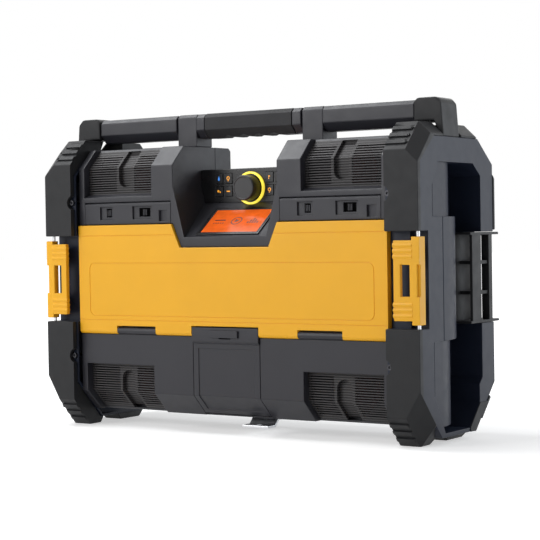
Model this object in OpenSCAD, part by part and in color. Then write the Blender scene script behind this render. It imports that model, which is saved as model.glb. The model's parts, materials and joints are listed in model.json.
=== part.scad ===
// Jobsite radio: a speaker body between two octagonal end frames, with bumpers on
// every corner, a full-width carrying handle, a drop-down storage door, a battery
// door and latches at both ends for stacking it beside other boxes.
//
// Millimetres. X runs from left to right, Y from front to back, Z up from the floor.
// The drawing modules measure Y from the front faces of the corner guards, and
// on_origin() then moves the whole thing so that its box stands on the origin.

/* [Case] */
// Width of the speaker body, from end frame to end frame
body_w = 450; // [440:2:460]
// Depth of the speaker body, front wall to back wall
body_d = 162; // [156:1:164]
// Height of the flat underside of the body above the floor
body_floor = 20; // [18:0.5:22]
// How far the flat tops of the two speaker towers lie below the handle's top
tower_drop = 42; // [40:1:44]
// How far the low deck between the towers lies below their tops
deck_drop = 29; // [27:1:31]
// Depth from the front at which the towers end above the deck
tower_back = 138; // [134:1:142]
// Size of the 45 degree chamfer along the lower front edge of the body
lower_chamfer = 26; // [24:1:28]
// Size of the 45 degree chamfer along the upper front edge of the body
upper_chamfer = 24; // [22:1:26]
// Depth at which the front housing meets the rear cover
split_y = 104; // [102:1:110]
// Wall thickness of the moulded housings
wall = 3; // [2.4:0.1:3.4]

/* [End frames] */
// Width of one end frame, from the body end to its outer face
frame_w = 44; // [42:1:48]
// Depth of an end frame
frame_d = 179; // [176:1:184]
// How far the top of an end frame lies below the tower tops
frame_drop = 3; // [1:0.5:4]
// Radius of the scooped front wall of the side recess
scoop_r = 57; // [54:1:60]
// Thickness of a corner guard over the front of the end frame
guard_t = 7; // [6:0.5:9]
// How far the flat tops of the corner guards stand above the tower tops
guard_rise = 13; // [11:1:15]
// How far a guard stands proud of the outer face of its frame
guard_proud = 1; // [0.6:0.1:2]
// How far the flanges of the rear catch reach behind the end frame
catch_reach = 12; // [8:1:16]

/* [Handle] */
// Height of the top of the handle end caps
handle_top = 392; // [390:1:400]
// Height of the carrying bar's section
bar_h = 30; // [28:1:31]
// Half length of the rubber grip
grip_half = 64; // [58:1:66]
// Inner edge of a handle post
post_in = 78; // [77:1:82]
// Outer edge of a handle post
post_out = 107; // [100:1:112]

/* [Storage door] */
// Height of the storage door's hinge pin
door_pin_z = 122.5; // [122:0.5:124]
// How far the top edge of the storage door lies below the tower tops
door_drop = 96; // [94:1:100]
// Thickness of the storage door
door_t = 9; // [8.6:0.1:9.4]
// How far the door stands proud of the housing
door_proud = 3; // [2.5:0.1:3.2]
// Height of the door latches
latch_h = 27; // [25:1:28]
// Thickness of the door latches
latch_t = 6; // [5:0.5:7]

/* [Battery door] */
// Half width of the battery door
charge_half = 48.5; // [46:0.5:50]
// Height of the top edge of the battery door
charge_top = 129; // [127:0.5:129.5]
// Half width of the sliding catch on the battery door
slider_half = 20; // [16:1:24]
// Travel of the sliding catch
slider_travel = 3; // [2:0.5:3.5]

/* [Controls] */
// Radius of the tuning knob
knob_r = 15.5; // [13:0.5:16.5]
// Depth of the tuning knob
knob_d = 18.5; // [14:0.5:20]
// Outer radius of the light ring round the knob
ring_r = 20; // [18:0.5:20.2]
// Radial width of the light ring
ring_w = 2.5; // [2:0.1:3]
// Travel of a push button
button_travel = 1; // [0.5:0.1:1.2]
// Width of a push button
button_w = 11; // [9:0.5:12]
// Height of a push button
button_h = 12; // [10:0.5:13]
// Half width of the display lens
lens_half = 41; // [36:1:43]
// Length of the display lens up the slope
lens_l = 45; // [38:1:48]

/* [Speakers] */
// Radius of a speaker's mounting flange
speaker_r = 33; // [30:0.5:33]
// Depth of a speaker behind its baffle
speaker_d = 34; // [28:1:38]
// Distance of a speaker's axis from the middle of the radio
speaker_x = 158; // [156:1:162]
// How far the grilles lie behind the faces of the body
grille_sink = 11; // [9:0.5:12]

/* [Fits] */
// Gap left round parts that drop into place
gap = 0.4; // [0.3:0.05:0.5]
// Radial running clearance of a pin or shaft that turns
run = 0.05; // [0.02:0.01:0.08]
// Radius of the steel hinge pins
pin_r = 1.5; // [1.2:0.1:1.8]
// Radius of the side latches' steel pins
side_pin_r = 2; // [1.6:0.1:2.4]

/* [Hidden] */
$fn = 64;

// Case, worked out from the sizes above
tower_top = handle_top - tower_drop;
deck_top = tower_top - deck_drop;
frame_top = tower_top - frame_drop;
guard_top = tower_top + guard_rise;
door_top = tower_top - door_drop;
body_half = body_w / 2;
frame_half = body_half + frame_w;
guard_half = frame_half + guard_proud;
frame_front = guard_t;
frame_back = frame_front + frame_d;
body_front = 14;
body_back = body_front + body_d;
total_d = frame_back + catch_reach;
body_in = body_half - wall;
upper_z = tower_top - upper_chamfer;
lower_z = body_floor + lower_chamfer;
rear_z = deck_top - 21;         // height of the rear wall below the sloped deck
tower_round = 4;

charcoal = [0.20, 0.20, 0.215];
slate = [0.27, 0.28, 0.32];
soot = [0.09, 0.09, 0.10];
yellow = [0.95, 0.68, 0.12];
steel = [0.72, 0.73, 0.75];

// Side outline of the body, as [y, z] points, anticlockwise
body_side = [
    [body_front + lower_chamfer, body_floor], [body_back - lower_chamfer, body_floor],
    [body_back, lower_z], [body_back, rear_z], [tower_back, deck_top],
    [tower_back, tower_top - tower_round], [tower_back - tower_round, tower_top],
    [body_front + upper_chamfer, tower_top],
    [body_front, upper_z], [body_front, lower_z]
];

// ---------------------------------------------------------------- helpers

function unit2(v) = v / norm(v);
function left_of(v) = [-v[1], v[0]];

// An anticlockwise outline moved inwards by t, with its corners kept sharp
function inset(pts, t) = [
    for (i = [0 : len(pts) - 1])
        let (a = pts[(i + len(pts) - 1) % len(pts)], b = pts[i], c = pts[(i + 1) % len(pts)],
             m = left_of(unit2(b - a)), n = left_of(unit2(c - b)))
            b + t * (m + n) / (1 + m * n)
];

module on_origin() translate([0, -total_d / 2, 0]) children();
module block(lo, hi) translate(lo) cube(hi - lo);
// A [y, z] outline run along X
module along_x(x0, x1, pts)
    translate([x0, 0, 0]) rotate([90, 0, 90]) linear_extrude(x1 - x0) polygon(pts);
// An [x, z] outline run along Y
module along_y(y0, y1, pts)
    translate([0, y1, 0]) rotate([90, 0, 0]) linear_extrude(y1 - y0) polygon(pts);
module rod_x(x0, x1, y, z, r) translate([x0, y, z]) rotate([0, 90, 0]) cylinder(h = x1 - x0, r = r);
module rod_y(y0, y1, x, z, r) translate([x, y0, z]) rotate([-90, 0, 0]) cylinder(h = y1 - y0, r = r);
module rod_z(z0, z1, x, y, r) translate([x, y, z0]) cylinder(h = z1 - z0, r = r);
module both_sides() {
    children();
    mirror([1, 0, 0]) children();
}
// Everything beyond the plane through three points, on the side its normal points to
module beyond(a, b, c, shift = 0) {
    n = cross(b - a, c - b) / norm(cross(b - a, c - b));
    translate(a + n * shift)
        rotate([0, acos(n[2]), atan2(n[1], n[0])]) translate([-150, -150, 0]) cube([300, 300, 100]);
}

// ---------------------------------------------------------------- body pockets
// Each pocket takes a growth g: cut from the outside at 0 and kept clear of the
// inside at the wall thickness, it leaves an even wall round itself.

recess_low = 60;      // half width of the control recess at its lip
recess_high = 76;     // half width of the control recess from its shoulder up
lip_z = door_top - 16; // height of the recess floor at its front
lip_y = 17;
panel_t = 3;
panel_y = 73;         // front face of the control panel
knob_z = deck_top - 24.5;
floor_z = knob_z - 17.5; // height of the recess floor at the panel
shoulder_z = tower_top - 50;

module control_recess(g) {
    front = [
        [-recess_low, lip_z - 20], [recess_low, lip_z - 20], [recess_low, lip_z],
        [recess_high, shoulder_z], [recess_high, tower_top + 20],
        [-recess_high, tower_top + 20], [-recess_high, shoulder_z], [-recess_low, lip_z]
    ];
    side = [
        [-10, lip_z], [lip_y, lip_z], [panel_y, floor_z], [panel_y + panel_t, floor_z],
        [panel_y + panel_t, deck_top], [body_back + 20, deck_top],
        [body_back + 20, tower_top + 20], [-10, tower_top + 20]
    ];
    intersection() {
        along_y(-20, body_back + 30, inset(front, -g));
        along_x(-recess_high - g - 1, recess_high + g + 1, inset(side, -g));
    }
}

door_front = body_front - door_proud;
door_back = door_front + door_t;
door_pin_y = door_front + door_t / 2;
pocket_back = door_back + 0.5;
pocket_low = door_pin_z - 5;
pocket_high = door_top + 0.6;
lip_low = door_top - 28.5;
lip_half_low = 64.5;
lip_half_high = 77;

module door_pocket(g) {
    outline = [
        [-body_half - 5, pocket_low], [body_half + 5, pocket_low], [body_half + 5, pocket_high],
        [lip_half_high, pocket_high], [lip_half_low, lip_low], [-lip_half_low, lip_low],
        [-lip_half_high, pocket_high], [-body_half - 5, pocket_high]
    ];
    along_y(-10, pocket_back + g, inset(outline, -g));
}

latch_in = 80;                  // inner end of a door latch
latch_w = body_half - 10 - latch_in;
latch_x = [-latch_in - latch_w, latch_in]; // left ends of the two identical latches
latch_low = door_top + 1;
latch_high = latch_low + latch_h;
latch_pin = [body_front + latch_t / 2, latch_high - latch_t / 2];
latch_pocket_d = latch_t + 6;

module latch_pockets(g)
    for (x = latch_x)
        block([x - gap - g, -10, pocket_high - 3 - g],
              [x + latch_w + gap + g, body_front + latch_pocket_d + g, latch_high + gap + g]);

charge_t = 4;                   // thickness of the battery door
charge_pin = [body_front + lower_chamfer, body_floor + 8];
charge_barrel_r = 4;
charge_sweep_r = 6.3;
charge_back = body_front + charge_t + gap;

module battery_pocket(g) {
    side = [
        [-10, 0], [charge_pin[0] + 2, 0], [charge_pin[0] + 2, charge_pin[1]],
        [charge_back, lower_z + 2.2],
        [charge_back, charge_top + 0.6], [-10, charge_top + 0.6]
    ];
    x = charge_half + gap + g;
    along_x(-x, x, inset(side, -g));
    rod_x(-x, x, charge_pin[0], charge_pin[1], charge_sweep_r + g);
}

// The body as a solid, its faces moved inwards by g
module body_form(g) {
    difference() {
        along_x(-body_half + g, body_half - g, inset(body_side, g));
        control_recess(g);
        door_pocket(g);
        latch_pockets(g);
        battery_pocket(g);
    }
}

// ---------------------------------------------------------------- housings

tray_half = body_in - 18;       // half width of the storage bay's opening
tray_low = pocket_low + 18.5;
tray_high = door_top - 36;
tray_back = 92;
tray_wall = 2.5;
bay_half = 42;                  // half width of the battery bay's opening
bay_low = lower_z + 4;
bay_high = charge_top - 15;
bay_back = 98;
bay_wall = 2.5;
grille_t = 2;
grille_in = recess_high + 33.5; // inner edge of the grille windows
grille_out = body_half - 9;
grille_up = latch_high + 11;    // lower edge of the upper windows
grille_down = lower_z + 34;     // upper edge of the lower windows
grille_y = body_front + grille_sink;
ledge = 4;                      // rise of the sloped lower ledge of an upper window
rim = 2.5;                      // thickness of the walls round a window
baffle_y = grille_y + 32;
baffle_t = 3;
speaker_up = tower_top - 37;
speaker_down = lower_z + 16;
boss_x = body_in - 4;
screw_r = 1.6;
case_screw_xz = [
    [-boss_x, tower_top - 60], [boss_x, tower_top - 60], [-boss_x, lower_z + 14], [boss_x, lower_z + 14],
    [-40, deck_top - wall - 4], [40, deck_top - wall - 4],
    [-60, body_floor + wall + 4], [60, body_floor + wall + 4]
];
window_half = 62;               // window in the recess wall behind the control panel
window_low = floor_z + 6;
window_high = deck_top - 4;
slope_a = [lip_y, lip_z];
slope_b = [panel_y, floor_z];
slope_l = norm(slope_b - slope_a);
view_half = lens_half - 1.5;    // half width of the window under the lens
bezel_u = 3;
bezel_rim = 4.5;
knuckle_in = 104;
knuckle_out = 164;
knuckle_r = door_t / 2;

// Local axes of a straight stretch of a side outline: X stays, Y runs from p to q
module on_slope(p, q)
    translate([0, p[0], p[1]]) rotate([atan2(q[1] - p[1], q[0] - p[0]), 0, 0]) children();

module on_display() on_slope(slope_a, slope_b) children();

// Opening of an upper window and of a lower one, as side outlines cut out to y = -5;
// each reaches back to the face of its grille
module grille_windows() {
    chamfer_y = [grille_y + upper_chamfer, grille_y + lower_chamfer];
    along_x(grille_in, grille_out, [
        [-5, grille_up - ledge * (grille_y + 5) / grille_sink], [grille_y, grille_up], [grille_y, upper_z],
        [chamfer_y[0], tower_top], [chamfer_y[0], tower_top + 5], [-5, tower_top + 5]
    ]);
    along_x(grille_in, grille_out, [
        [-5, body_floor - 5], [chamfer_y[1], body_floor - 5], [chamfer_y[1], body_floor],
        [grille_y, lower_z], [grille_y, grille_down], [-5, grille_down]
    ]);
}

// Walls that run from the body's faces back to the grilles, before the windows are cut
module window_rims() {
    along_x(grille_in - rim, grille_out + rim, [
        [body_front, grille_up - ledge - rim], [grille_y, grille_up - rim], [grille_y, upper_z],
        [grille_y + upper_chamfer, tower_top], [body_front + upper_chamfer, tower_top], [body_front, upper_z]
    ]);
    along_x(grille_in - rim, grille_out + rim, [
        [body_front, lower_z], [body_front + lower_chamfer, body_floor],
        [grille_y + lower_chamfer, body_floor], [grille_y, lower_z], [grille_y, grille_down + rim],
        [body_front, grille_down + rim]
    ]);
}

module body_shell() {
    difference() {
        body_form(0);
        body_form(wall);
    }
}

module speaker_holes()
    both_sides() for (z = [speaker_up, speaker_down])
        rod_y(baffle_y - 1, baffle_y + baffle_t + 1, speaker_x, z, speaker_r - 3.5);

module baffles() {
    both_sides() {
        block([recess_high + wall - 1, baffle_y, grille_up - 8],
              [body_half - wall / 2, baffle_y + baffle_t, tower_top - wall / 2]);
        block([grille_in - 2, baffle_y, body_floor + wall / 2],
              [body_half - wall / 2, baffle_y + baffle_t, speaker_down + speaker_r + 5]);
    }
}

module door_knuckles() {
    both_sides() {
        rod_x(knuckle_in, knuckle_out, door_pin_y, door_pin_z, knuckle_r);
        block([knuckle_in, door_pin_y, pocket_low - 0.5], [knuckle_out, pocket_back + 1, door_pin_z + knuckle_r]);
    }
}

module front_housing() color(charcoal) on_origin() {
    difference() {
        union() {
            intersection() {
                body_shell();
                block([-body_w, -10, -10], [body_w, split_y, tower_top + 10]);
            }
            baffles();
            both_sides() window_rims();
            door_knuckles();
            for (p = case_screw_xz) rod_y(split_y - 18, split_y, p[0], p[1], 5);
        }
        for (p = case_screw_xz) rod_y(split_y - 15, split_y + 1, p[0], p[1], screw_r + 0.02);
        speaker_holes();
        both_sides() {
            grille_windows();
            rod_x(82, 182, door_pin_y, door_pin_z, pin_r + 0.02);
        }
        for (x = latch_x)
            rod_x(x - gap - wall + 0.5, x + latch_w + gap + wall - 0.5, latch_pin[0], latch_pin[1], pin_r + 0.02);
        rod_x(-charge_half - 6, charge_half + 6, charge_pin[0], charge_pin[1], pin_r + 0.02);
        block([-tray_half, pocket_back - 5, tray_low], [tray_half, pocket_back + wall + 1, tray_high]);
        block([-bay_half, charge_back - 2, bay_low], [bay_half, charge_back + wall + 1, bay_high]);
        block([-window_half, panel_y, window_low], [window_half, panel_y + panel_t + wall + 1, window_high]);
        on_display() block([-view_half, bezel_u + bezel_rim + 1.5, -wall - 1],
                           [view_half, bezel_u + bezel_rim + lens_l - 1.5, 1]);
        seal_ring(0.15, pocket_back - 1, pocket_back + 1.7);
        rod_y(panel_y - 4, panel_y + 0.2, 0, knob_z, ring_r + gap);
    }
}

inlet_x = [-152, -118];
inlet_z = [60, 86];
board_y = 130;
board_half = 110;
board_z = [tray_low + 14, deck_top - 59];
vent_x = [70, 142];

module rear_cover() color(charcoal) on_origin() {
    difference() {
        union() {
            intersection() {
                body_shell();
                block([-body_w, split_y, -10], [body_w, body_back + 10, tower_top + 10]);
            }
            intersection() {
                body_form(0);
                for (p = case_screw_xz) rod_y(split_y, body_back + 10, p[0], p[1], 6.2);
            }
            for (x = [-1, 1], z = [board_z[0] + 10, board_z[1] - 10])
                rod_y(board_y + 1.6, body_back - 1, x * (board_half - 10), z, 4);
        }
        for (p = case_screw_xz) {
            rod_y(split_y - 1, split_y + 7, p[0], p[1], screw_r + 0.2);
            rod_y(split_y + 6, body_back + 20, p[0], p[1], 4.2);
        }
        block([inlet_x[0], body_back - wall - 1, inlet_z[0]], [inlet_x[1], body_back + 1, inlet_z[1]]);
        for (z = [64 : 8 : 112])
            block([vent_x[0], body_back - wall - 1, z], [vent_x[1], body_back + 1, z + 3]);
    }
}

module case_screws() color(steel) on_origin()
    for (p = case_screw_xz) {
        rod_y(split_y - 14, split_y + 6, p[0], p[1], screw_r);
        difference() {
            rod_y(split_y + 6, split_y + 9, p[0], p[1], 3.6);
            rod_y(split_y + 7.5, split_y + 10, p[0], p[1], 1.5);
        }
    }

// ---------------------------------------------------------------- end frames

frame_foot = 8;
frame_side = [
    [frame_front + 45, frame_foot], [frame_back - 53, frame_foot],
    [frame_back, frame_foot + 53], [frame_back, frame_top - 29],
    [frame_back - 38, frame_top], [frame_front + 33, frame_top],
    [frame_front, frame_top - 29], [frame_front, frame_foot + 49]
];
scoop_y = 90;
recess_top = frame_top - 29;
recess_back = frame_back - 32;
notch_low = door_pin_z + 10.5;  // the side latches sit between these heights
notch_high = door_top - 13;
notch_half = guard_half - 20;
notch_back = 24;
notch_step = 18;                // depth of the notch between the door and the latch
catch_low = notch_low - 0.5;
catch_high = notch_high - 2.5;
catch_in = frame_half - 24;

recess_side = [
    [60, frame_foot + 5], [recess_back - 34, frame_foot + 5], [recess_back - 8, 40],
    [recess_back - 8, 61],
    [recess_back, 69], [recess_back, recess_top - 14], [recess_back - 19, recess_top],
    [49, recess_top], [34, recess_top - 28], [34, 60]
];

module side_recess(g) {
    floor_x = body_half + wall - g;
    intersection() {
        along_x(floor_x, frame_half + 30, inset(recess_side, -g));
        union() {
            rod_z(-20, 400, body_half + wall + scoop_r, scoop_y, scoop_r + g);
            block([floor_x, scoop_y, -20], [frame_half + 40, frame_back + 20, 400]);
        }
    }
}

module frame_form(g) {
    difference() {
        along_x(body_half - g, frame_half - g, inset(frame_side, g));
        side_recess(g);
        block([notch_half - g, -10, notch_low - g], [guard_half + 20, notch_back + g, notch_high + g]);
        block([body_half - 10, -10, notch_low - g], [notch_half + 1, notch_step + g, notch_high + g]);
        block([catch_in - g, recess_back - 4, catch_low - gap - g],
              [guard_half + 20, frame_back + 20, catch_high + gap + g]);
    }
}

side_pin = [guard_half - 5.5, 9.5];
side_pin_z = [notch_low - wall - 2, notch_high + wall + 2];
guard_in = body_half + 2;
guard_screw_x = guard_in + 2.5;
guard_screw_z = [notch_low - 43, tower_top - 67]; // the lower and the upper screw of each end

module end_frame() {
    difference() {
        frame_form(0);
        frame_form(wall);
        rod_z(side_pin_z[0] - 0.2, side_pin_z[1] + 0.2, side_pin[0], side_pin[1], side_pin_r + 0.02);
        for (z = guard_screw_z) rod_y(frame_front - 1, frame_front + 15, guard_screw_x, z, 2.05);
        rod_y(frame_back - 15, frame_back + 1, guard_screw_x, guard_screw_z[1], 2.05);
    }
}

module right_end_frame() color(slate) on_origin() end_frame();
module left_end_frame() color(slate) on_origin() mirror([1, 0, 0]) end_frame();

// Rear catch that the side latches of the box behind hook on to: a web and an outer
// plate between two flanges, and a hook bar behind them
module catch() {
    flange_t = 3;
    rib_t = 4;
    flange_y = 125;
    plate = [130, 153];
    web_back = 170;
    bar = [174, 183];
    web_x = catch_in + gap;
    for (z = [catch_low, catch_high - flange_t])
        block([web_x, flange_y, z], [guard_half, total_d, z + flange_t]);
    block([web_x, flange_y, catch_low], [web_x + 3, web_back, catch_high]);
    block([frame_half - 3, plate[0], catch_low], [guard_half - 0.5, plate[1], catch_high]);
    block([frame_half - 10, bar[0], catch_low], [frame_half, bar[1], catch_high]);
    for (share = [1 / 3, 2 / 3]) {
        z = catch_low + share * (catch_high - catch_low) - rib_t / 2;
        block([web_x + 1, plate[0] + 10, z], [frame_half - 2, bar[1] - 1, z + rib_t]);
    }
}

module right_catch() color(charcoal) on_origin() catch();
module left_catch() color(charcoal) on_origin() mirror([1, 0, 0]) catch();

// ---------------------------------------------------------------- corner guards

bevel = 15;
foot_half = guard_half - 17;
guard_back = frame_back + 4;
front_up = [0, guard_top - 32];
front_up_top = [31, guard_top];
front_low = [0, 34.5];
front_low_foot = [30, 0];
rear_up = [guard_back, guard_top - 48];
rear_up_top = [guard_back - 48, guard_top];
rear_low_end = [frame_back - 15, frame_foot + 38];
rear_low = rear_low_end + [2.5, -2.5];
rear_low_foot = [rear_low[0] - rear_low[1], 0];
frame_up_front = [frame_side[6], frame_side[5]];
frame_up_back = [frame_side[3], frame_side[4]];

// Three raised grip ribs with round outer ends along a chamfer, from p to q
module grip_ribs(p, q, count = 3) {
    l = norm(q - p);
    rib_w = 5.5;
    rib_l = 23;
    on_slope(p, q) for (i = [1 : count])
        translate([guard_in, l * i / (count + 1), -1]) {
            translate([0, -rib_w / 2, 0]) cube([rib_l, rib_w, 2.8]);
            translate([rib_l, 0, 0]) cylinder(h = 2.8, r = rib_w / 2);
        }
}

// Tall half-moon notch at the inner edge of a guard, over its screw
module screw_scallop(z) rod_y(-10, total_d, guard_in - 3, z, 9);

module front_upper_guard() {
    outline = [
        front_up, [0, notch_high], [frame_front, notch_high], frame_up_front[0],
        frame_up_front[1], [62, frame_top], [62, guard_top], front_up_top
    ];
    x = guard_half - bevel;
    difference() {
        union() {
            along_x(guard_in, guard_half, outline);
            grip_ribs(front_up, front_up_top);
        }
        beyond([x, front_up_top[0], guard_top], [x, 0, front_up[1]], [guard_half, 0, front_up[1] - 14]);
        beyond([x, 100, guard_top], [x, 0, guard_top], [guard_half, 0, guard_top - 14]);
        screw_scallop(guard_screw_z[1]);
    }
}

module front_lower_guard() {
    outline = [
        [0, notch_low], front_low, front_low_foot, [52, 0], [58, frame_foot],
        frame_side[0], frame_side[7], [frame_front, notch_low]
    ];
    difference() {
        union() {
            along_x(guard_in, guard_half, outline);
            grip_ribs(front_low_foot, front_low);
        }
        beyond([guard_half, 0, front_low[1] + 30], [foot_half, 0, front_low[1] + 1],
               [foot_half, front_low_foot[0] + 1, 1]);
        beyond([foot_half, 0, 0], [foot_half, 100, 0], [guard_half, 100, 25]);
        screw_scallop(guard_screw_z[0]);
    }
}

module rear_upper_guard() {
    outline = [
        [guard_back, notch_high], rear_up, rear_up_top, [105, guard_top], [105, frame_top],
        frame_up_back[1], frame_up_back[0], [frame_back, notch_high]
    ];
    x = guard_half - bevel;
    difference() {
        union() {
            along_x(guard_in, guard_half, outline);
            grip_ribs(rear_up_top, rear_up, 4);
        }
        beyond([guard_half, guard_back, rear_up[1] - 14], [x, guard_back, rear_up[1]],
               [x, rear_up_top[0], guard_top]);
        beyond([x, 100, guard_top], [x, 0, guard_top], [guard_half, 0, guard_top - 14]);
        screw_scallop(guard_screw_z[1]);
    }
}

module rear_lower_guard() {
    outline = [rear_low, rear_low_end, frame_side[1], [86, frame_foot], [92, 0], rear_low_foot];
    difference() {
        union() {
            along_x(guard_in, guard_half, outline);
            grip_ribs(rear_low, rear_low_foot);
        }
        beyond([foot_half, 0, 0], [foot_half, 100, 0], [guard_half, 100, 25]);
    }
    // cheek over the lower rear corner of the end frame's outer face
    cheek_up = recess_side[2][1] - frame_side[1][1];
    along_x(frame_half, guard_half, [
        [recess_side[1][0], frame_foot], frame_side[1] + [0.4, -0.4],
        frame_side[1] + [cheek_up + 0.4, cheek_up - 0.4], recess_side[2], recess_side[1]
    ]);
}

module front_upper_right_guard() color(charcoal) on_origin() front_upper_guard();
module front_upper_left_guard() color(charcoal) on_origin() mirror([1, 0, 0]) front_upper_guard();
module front_lower_right_guard() color(charcoal) on_origin() front_lower_guard();
module front_lower_left_guard() color(charcoal) on_origin() mirror([1, 0, 0]) front_lower_guard();
module rear_upper_right_guard() color(charcoal) on_origin() rear_upper_guard();
module rear_upper_left_guard() color(charcoal) on_origin() mirror([1, 0, 0]) rear_upper_guard();
module rear_lower_right_guard() color(charcoal) on_origin() rear_lower_guard();
module rear_lower_left_guard() color(charcoal) on_origin() mirror([1, 0, 0]) rear_lower_guard();

// A pan-head screw with its head on the plane y = 0 and its shank running to +Y
module guard_screw(x, z)
    difference() {
        union() {
            rod_y(-3, 0, x, z, 3.4);
            rod_y(-1, 12, x, z, 2);
        }
        rod_y(-4, -1.6, x, z, 1.6);
    }

module guard_screws() color(steel) on_origin() {
    both_sides() {
        for (z = guard_screw_z) translate([0, frame_front, 0]) guard_screw(guard_screw_x, z);
        translate([0, frame_back, 0]) mirror([0, 1, 0]) guard_screw(guard_screw_x, guard_screw_z[1]);
    }
}

// ---------------------------------------------------------------- speakers

// Side outline of the body moved back by d and then inwards by t
function side_at(d, t = 0) = inset([for (p = body_side) p + [d, 0]], t);

channel_r = 10;                 // half width of the moulded channel across a grille
channel_d = 6;

// A round-ended strip in front view, from the height end_z up (1) or down (-1)
module channel_strip(r, y0, y1, end_z, way) {
    rod_y(y0, y1, speaker_x, end_z + way * r, r);
    z = [end_z + way * r, end_z + way * 90];
    block([speaker_x - r, y0, min(z)], [speaker_x + r, y1, max(z)]);
}

// One grille: a bent plate with fine level slots and a round-ended channel, inside
// the box from lo to hi; the channel starts at end_z and runs up or down from there
module grille(lo, hi, end_z, way) {
    slot_pitch = 3;
    slot_h = 1.3;
    edge = 6;
    module plate(d, t, out)
        difference() {
            along_x(lo[0], hi[0], side_at(out));
            along_x(lo[0] - 1, hi[0] + 1, side_at(d, t));
        }
    difference() {
        union() {
            intersection() {
                plate(grille_sink, grille_t, grille_sink);
                block(lo, hi);
            }
            intersection() {
                plate(grille_sink + channel_d, 1.5, grille_sink);
                block(lo, hi);
                channel_strip(channel_r + 1.5, 0, 80, end_z - way * 1.5, way);
            }
        }
        intersection() {
            difference() {
                block(lo - [1, 5, 5], hi + [1, 5, 5]);
                along_x(lo[0] - 2, hi[0] + 2, side_at(grille_sink + channel_d));
            }
            channel_strip(channel_r, 0, 80, end_z, way);
        }
        for (z = [lo[2] + edge : slot_pitch : hi[2] - edge]) {
            block([lo[0] + edge, 0, z], [speaker_x - channel_r - 4, 60, z + slot_h]);
            block([speaker_x + channel_r + 4, 0, z], [hi[0] - edge, 60, z + slot_h]);
        }
    }
}

grille_x = [grille_in - rim, grille_out + rim];
module upper_grille()
    grille([grille_x[0], grille_y, grille_up - rim], [grille_x[1], grille_y + upper_chamfer, tower_top - wall],
           grille_up + 8, 1);
module lower_grille()
    grille([grille_x[0], grille_y, body_floor + wall], [grille_x[1], grille_y + lower_chamfer, grille_down + rim],
           grille_down - 8, -1);

module upper_right_grille() color(soot) on_origin() upper_grille();
module upper_left_grille() color(soot) on_origin() mirror([1, 0, 0]) upper_grille();
module lower_right_grille() color(soot) on_origin() lower_grille();
module lower_left_grille() color(soot) on_origin() mirror([1, 0, 0]) lower_grille();

// Places its child at each of the four speaker axes, with +Z turned to the rear
module at_speakers()
    both_sides() for (z = [speaker_up, speaker_down])
        translate([speaker_x, baffle_y, z]) rotate([-90, 0, 0]) children();

module speaker_baskets() color(steel) on_origin() {
    flange_t = 4;
    neck = 20;
    throat = speaker_r - 4;
    at_speakers() rotate_extrude() polygon([
        [throat - 2, -flange_t], [speaker_r, -flange_t], [speaker_r, 0], [throat, 0],
        [neck, 16], [neck + 4, 16], [neck + 4, speaker_d], [0, speaker_d],
        [0, 17], [neck - 3, 15]
    ]);
}

module speaker_cones() color(soot) on_origin() {
    rim = speaker_r - 1;
    at_speakers() rotate_extrude() polygon([
        [rim, -4.2], [rim, -5.2], [rim - 3, -7], [rim - 6, -5.2], [rim - 7, -4.4], [10, 8],
        [7, 5], [0, 4], [0, 9.5], [9, 9.5], [rim - 7, -3.2], [rim - 5.5, -4.2]
    ]);
}

// ---------------------------------------------------------------- handle

bar_top = handle_top - 2;
bar_low = bar_top - bar_h;
bar_y = [66, 102];
bar_mid = (bar_y[0] + bar_y[1]) / 2;
core_half_y = 10;
core_z = [bar_low + 6, bar_top - 6];
cap_in = 231;
post_y = [68, 101];

// Eight-sided section of the bar, grown by g
function bar_section(g) = inset([
    [bar_y[0], bar_low + 10], [bar_y[0] + 9, bar_low], [bar_y[1] - 9, bar_low],
    [bar_y[1], bar_low + 10], [bar_y[1], bar_top - 5], [bar_y[1] - 5, bar_top],
    [bar_y[0] + 5, bar_top], [bar_y[0], bar_top - 5]
], -g);

module handle_core(x0, x1, g)
    block([x0, bar_mid - core_half_y - g, core_z[0] - g], [x1, bar_mid + core_half_y + g, core_z[1] + g]);

module handle_bar() color(charcoal) on_origin() {
    handle_core(-cap_in - 18, cap_in + 18, 0);
    both_sides() {
        along_x(post_out + 0.8, cap_in - 0.8, bar_section(0));
        along_x(grip_half + 0.8, post_in - 0.8, bar_section(0));
    }
}

module handle_grip() color(soot) on_origin() {
    wave_r = 14;
    wave_pitch = 22;
    difference() {
        along_x(-grip_half, grip_half, bar_section(0.2));
        handle_core(-grip_half - 1, grip_half + 1, 0.1);
        for (x = [-1.5 : 1.5]) rod_y(0, total_d, x * wave_pitch, bar_low - wave_r + 2.2, wave_r);
    }
}

module handle_posts() color(charcoal) on_origin()
    both_sides() difference() {
        along_x(post_in, post_out, [
            [post_y[0], tower_top], [post_y[1], tower_top], [post_y[1], bar_top - 4],
            [post_y[1] - 4, bar_top + 0.4], [post_y[0] + 4, bar_top + 0.4], [post_y[0], bar_top - 4]
        ]);
        handle_core(post_in - 1, post_out + 1, 0.1);
    }

module handle_cap() {
    knee = guard_top + 2;
    outline = [
        [cap_in, knee], [frame_half - 13, knee], [frame_half - 5, frame_top], [frame_half, frame_top],
        [frame_half - 3, handle_top - 6], [frame_half - 9, handle_top], [cap_in + 4, handle_top],
        [cap_in, handle_top - 4]
    ];
    difference() {
        along_y(64, 103, outline);
        handle_core(cap_in - 1, cap_in + 18.2, 0.1);
    }
}

module right_handle_cap() color(charcoal) on_origin() handle_cap();
module left_handle_cap() color(charcoal) on_origin() mirror([1, 0, 0]) handle_cap();

// ---------------------------------------------------------------- storage door

door_half = body_half - 0.8;
door_skin = 3;
notch_x = charge_half + 0.5;
seal_out = [tray_half + 8, tray_low - 6, tray_high + 5.5];

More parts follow.
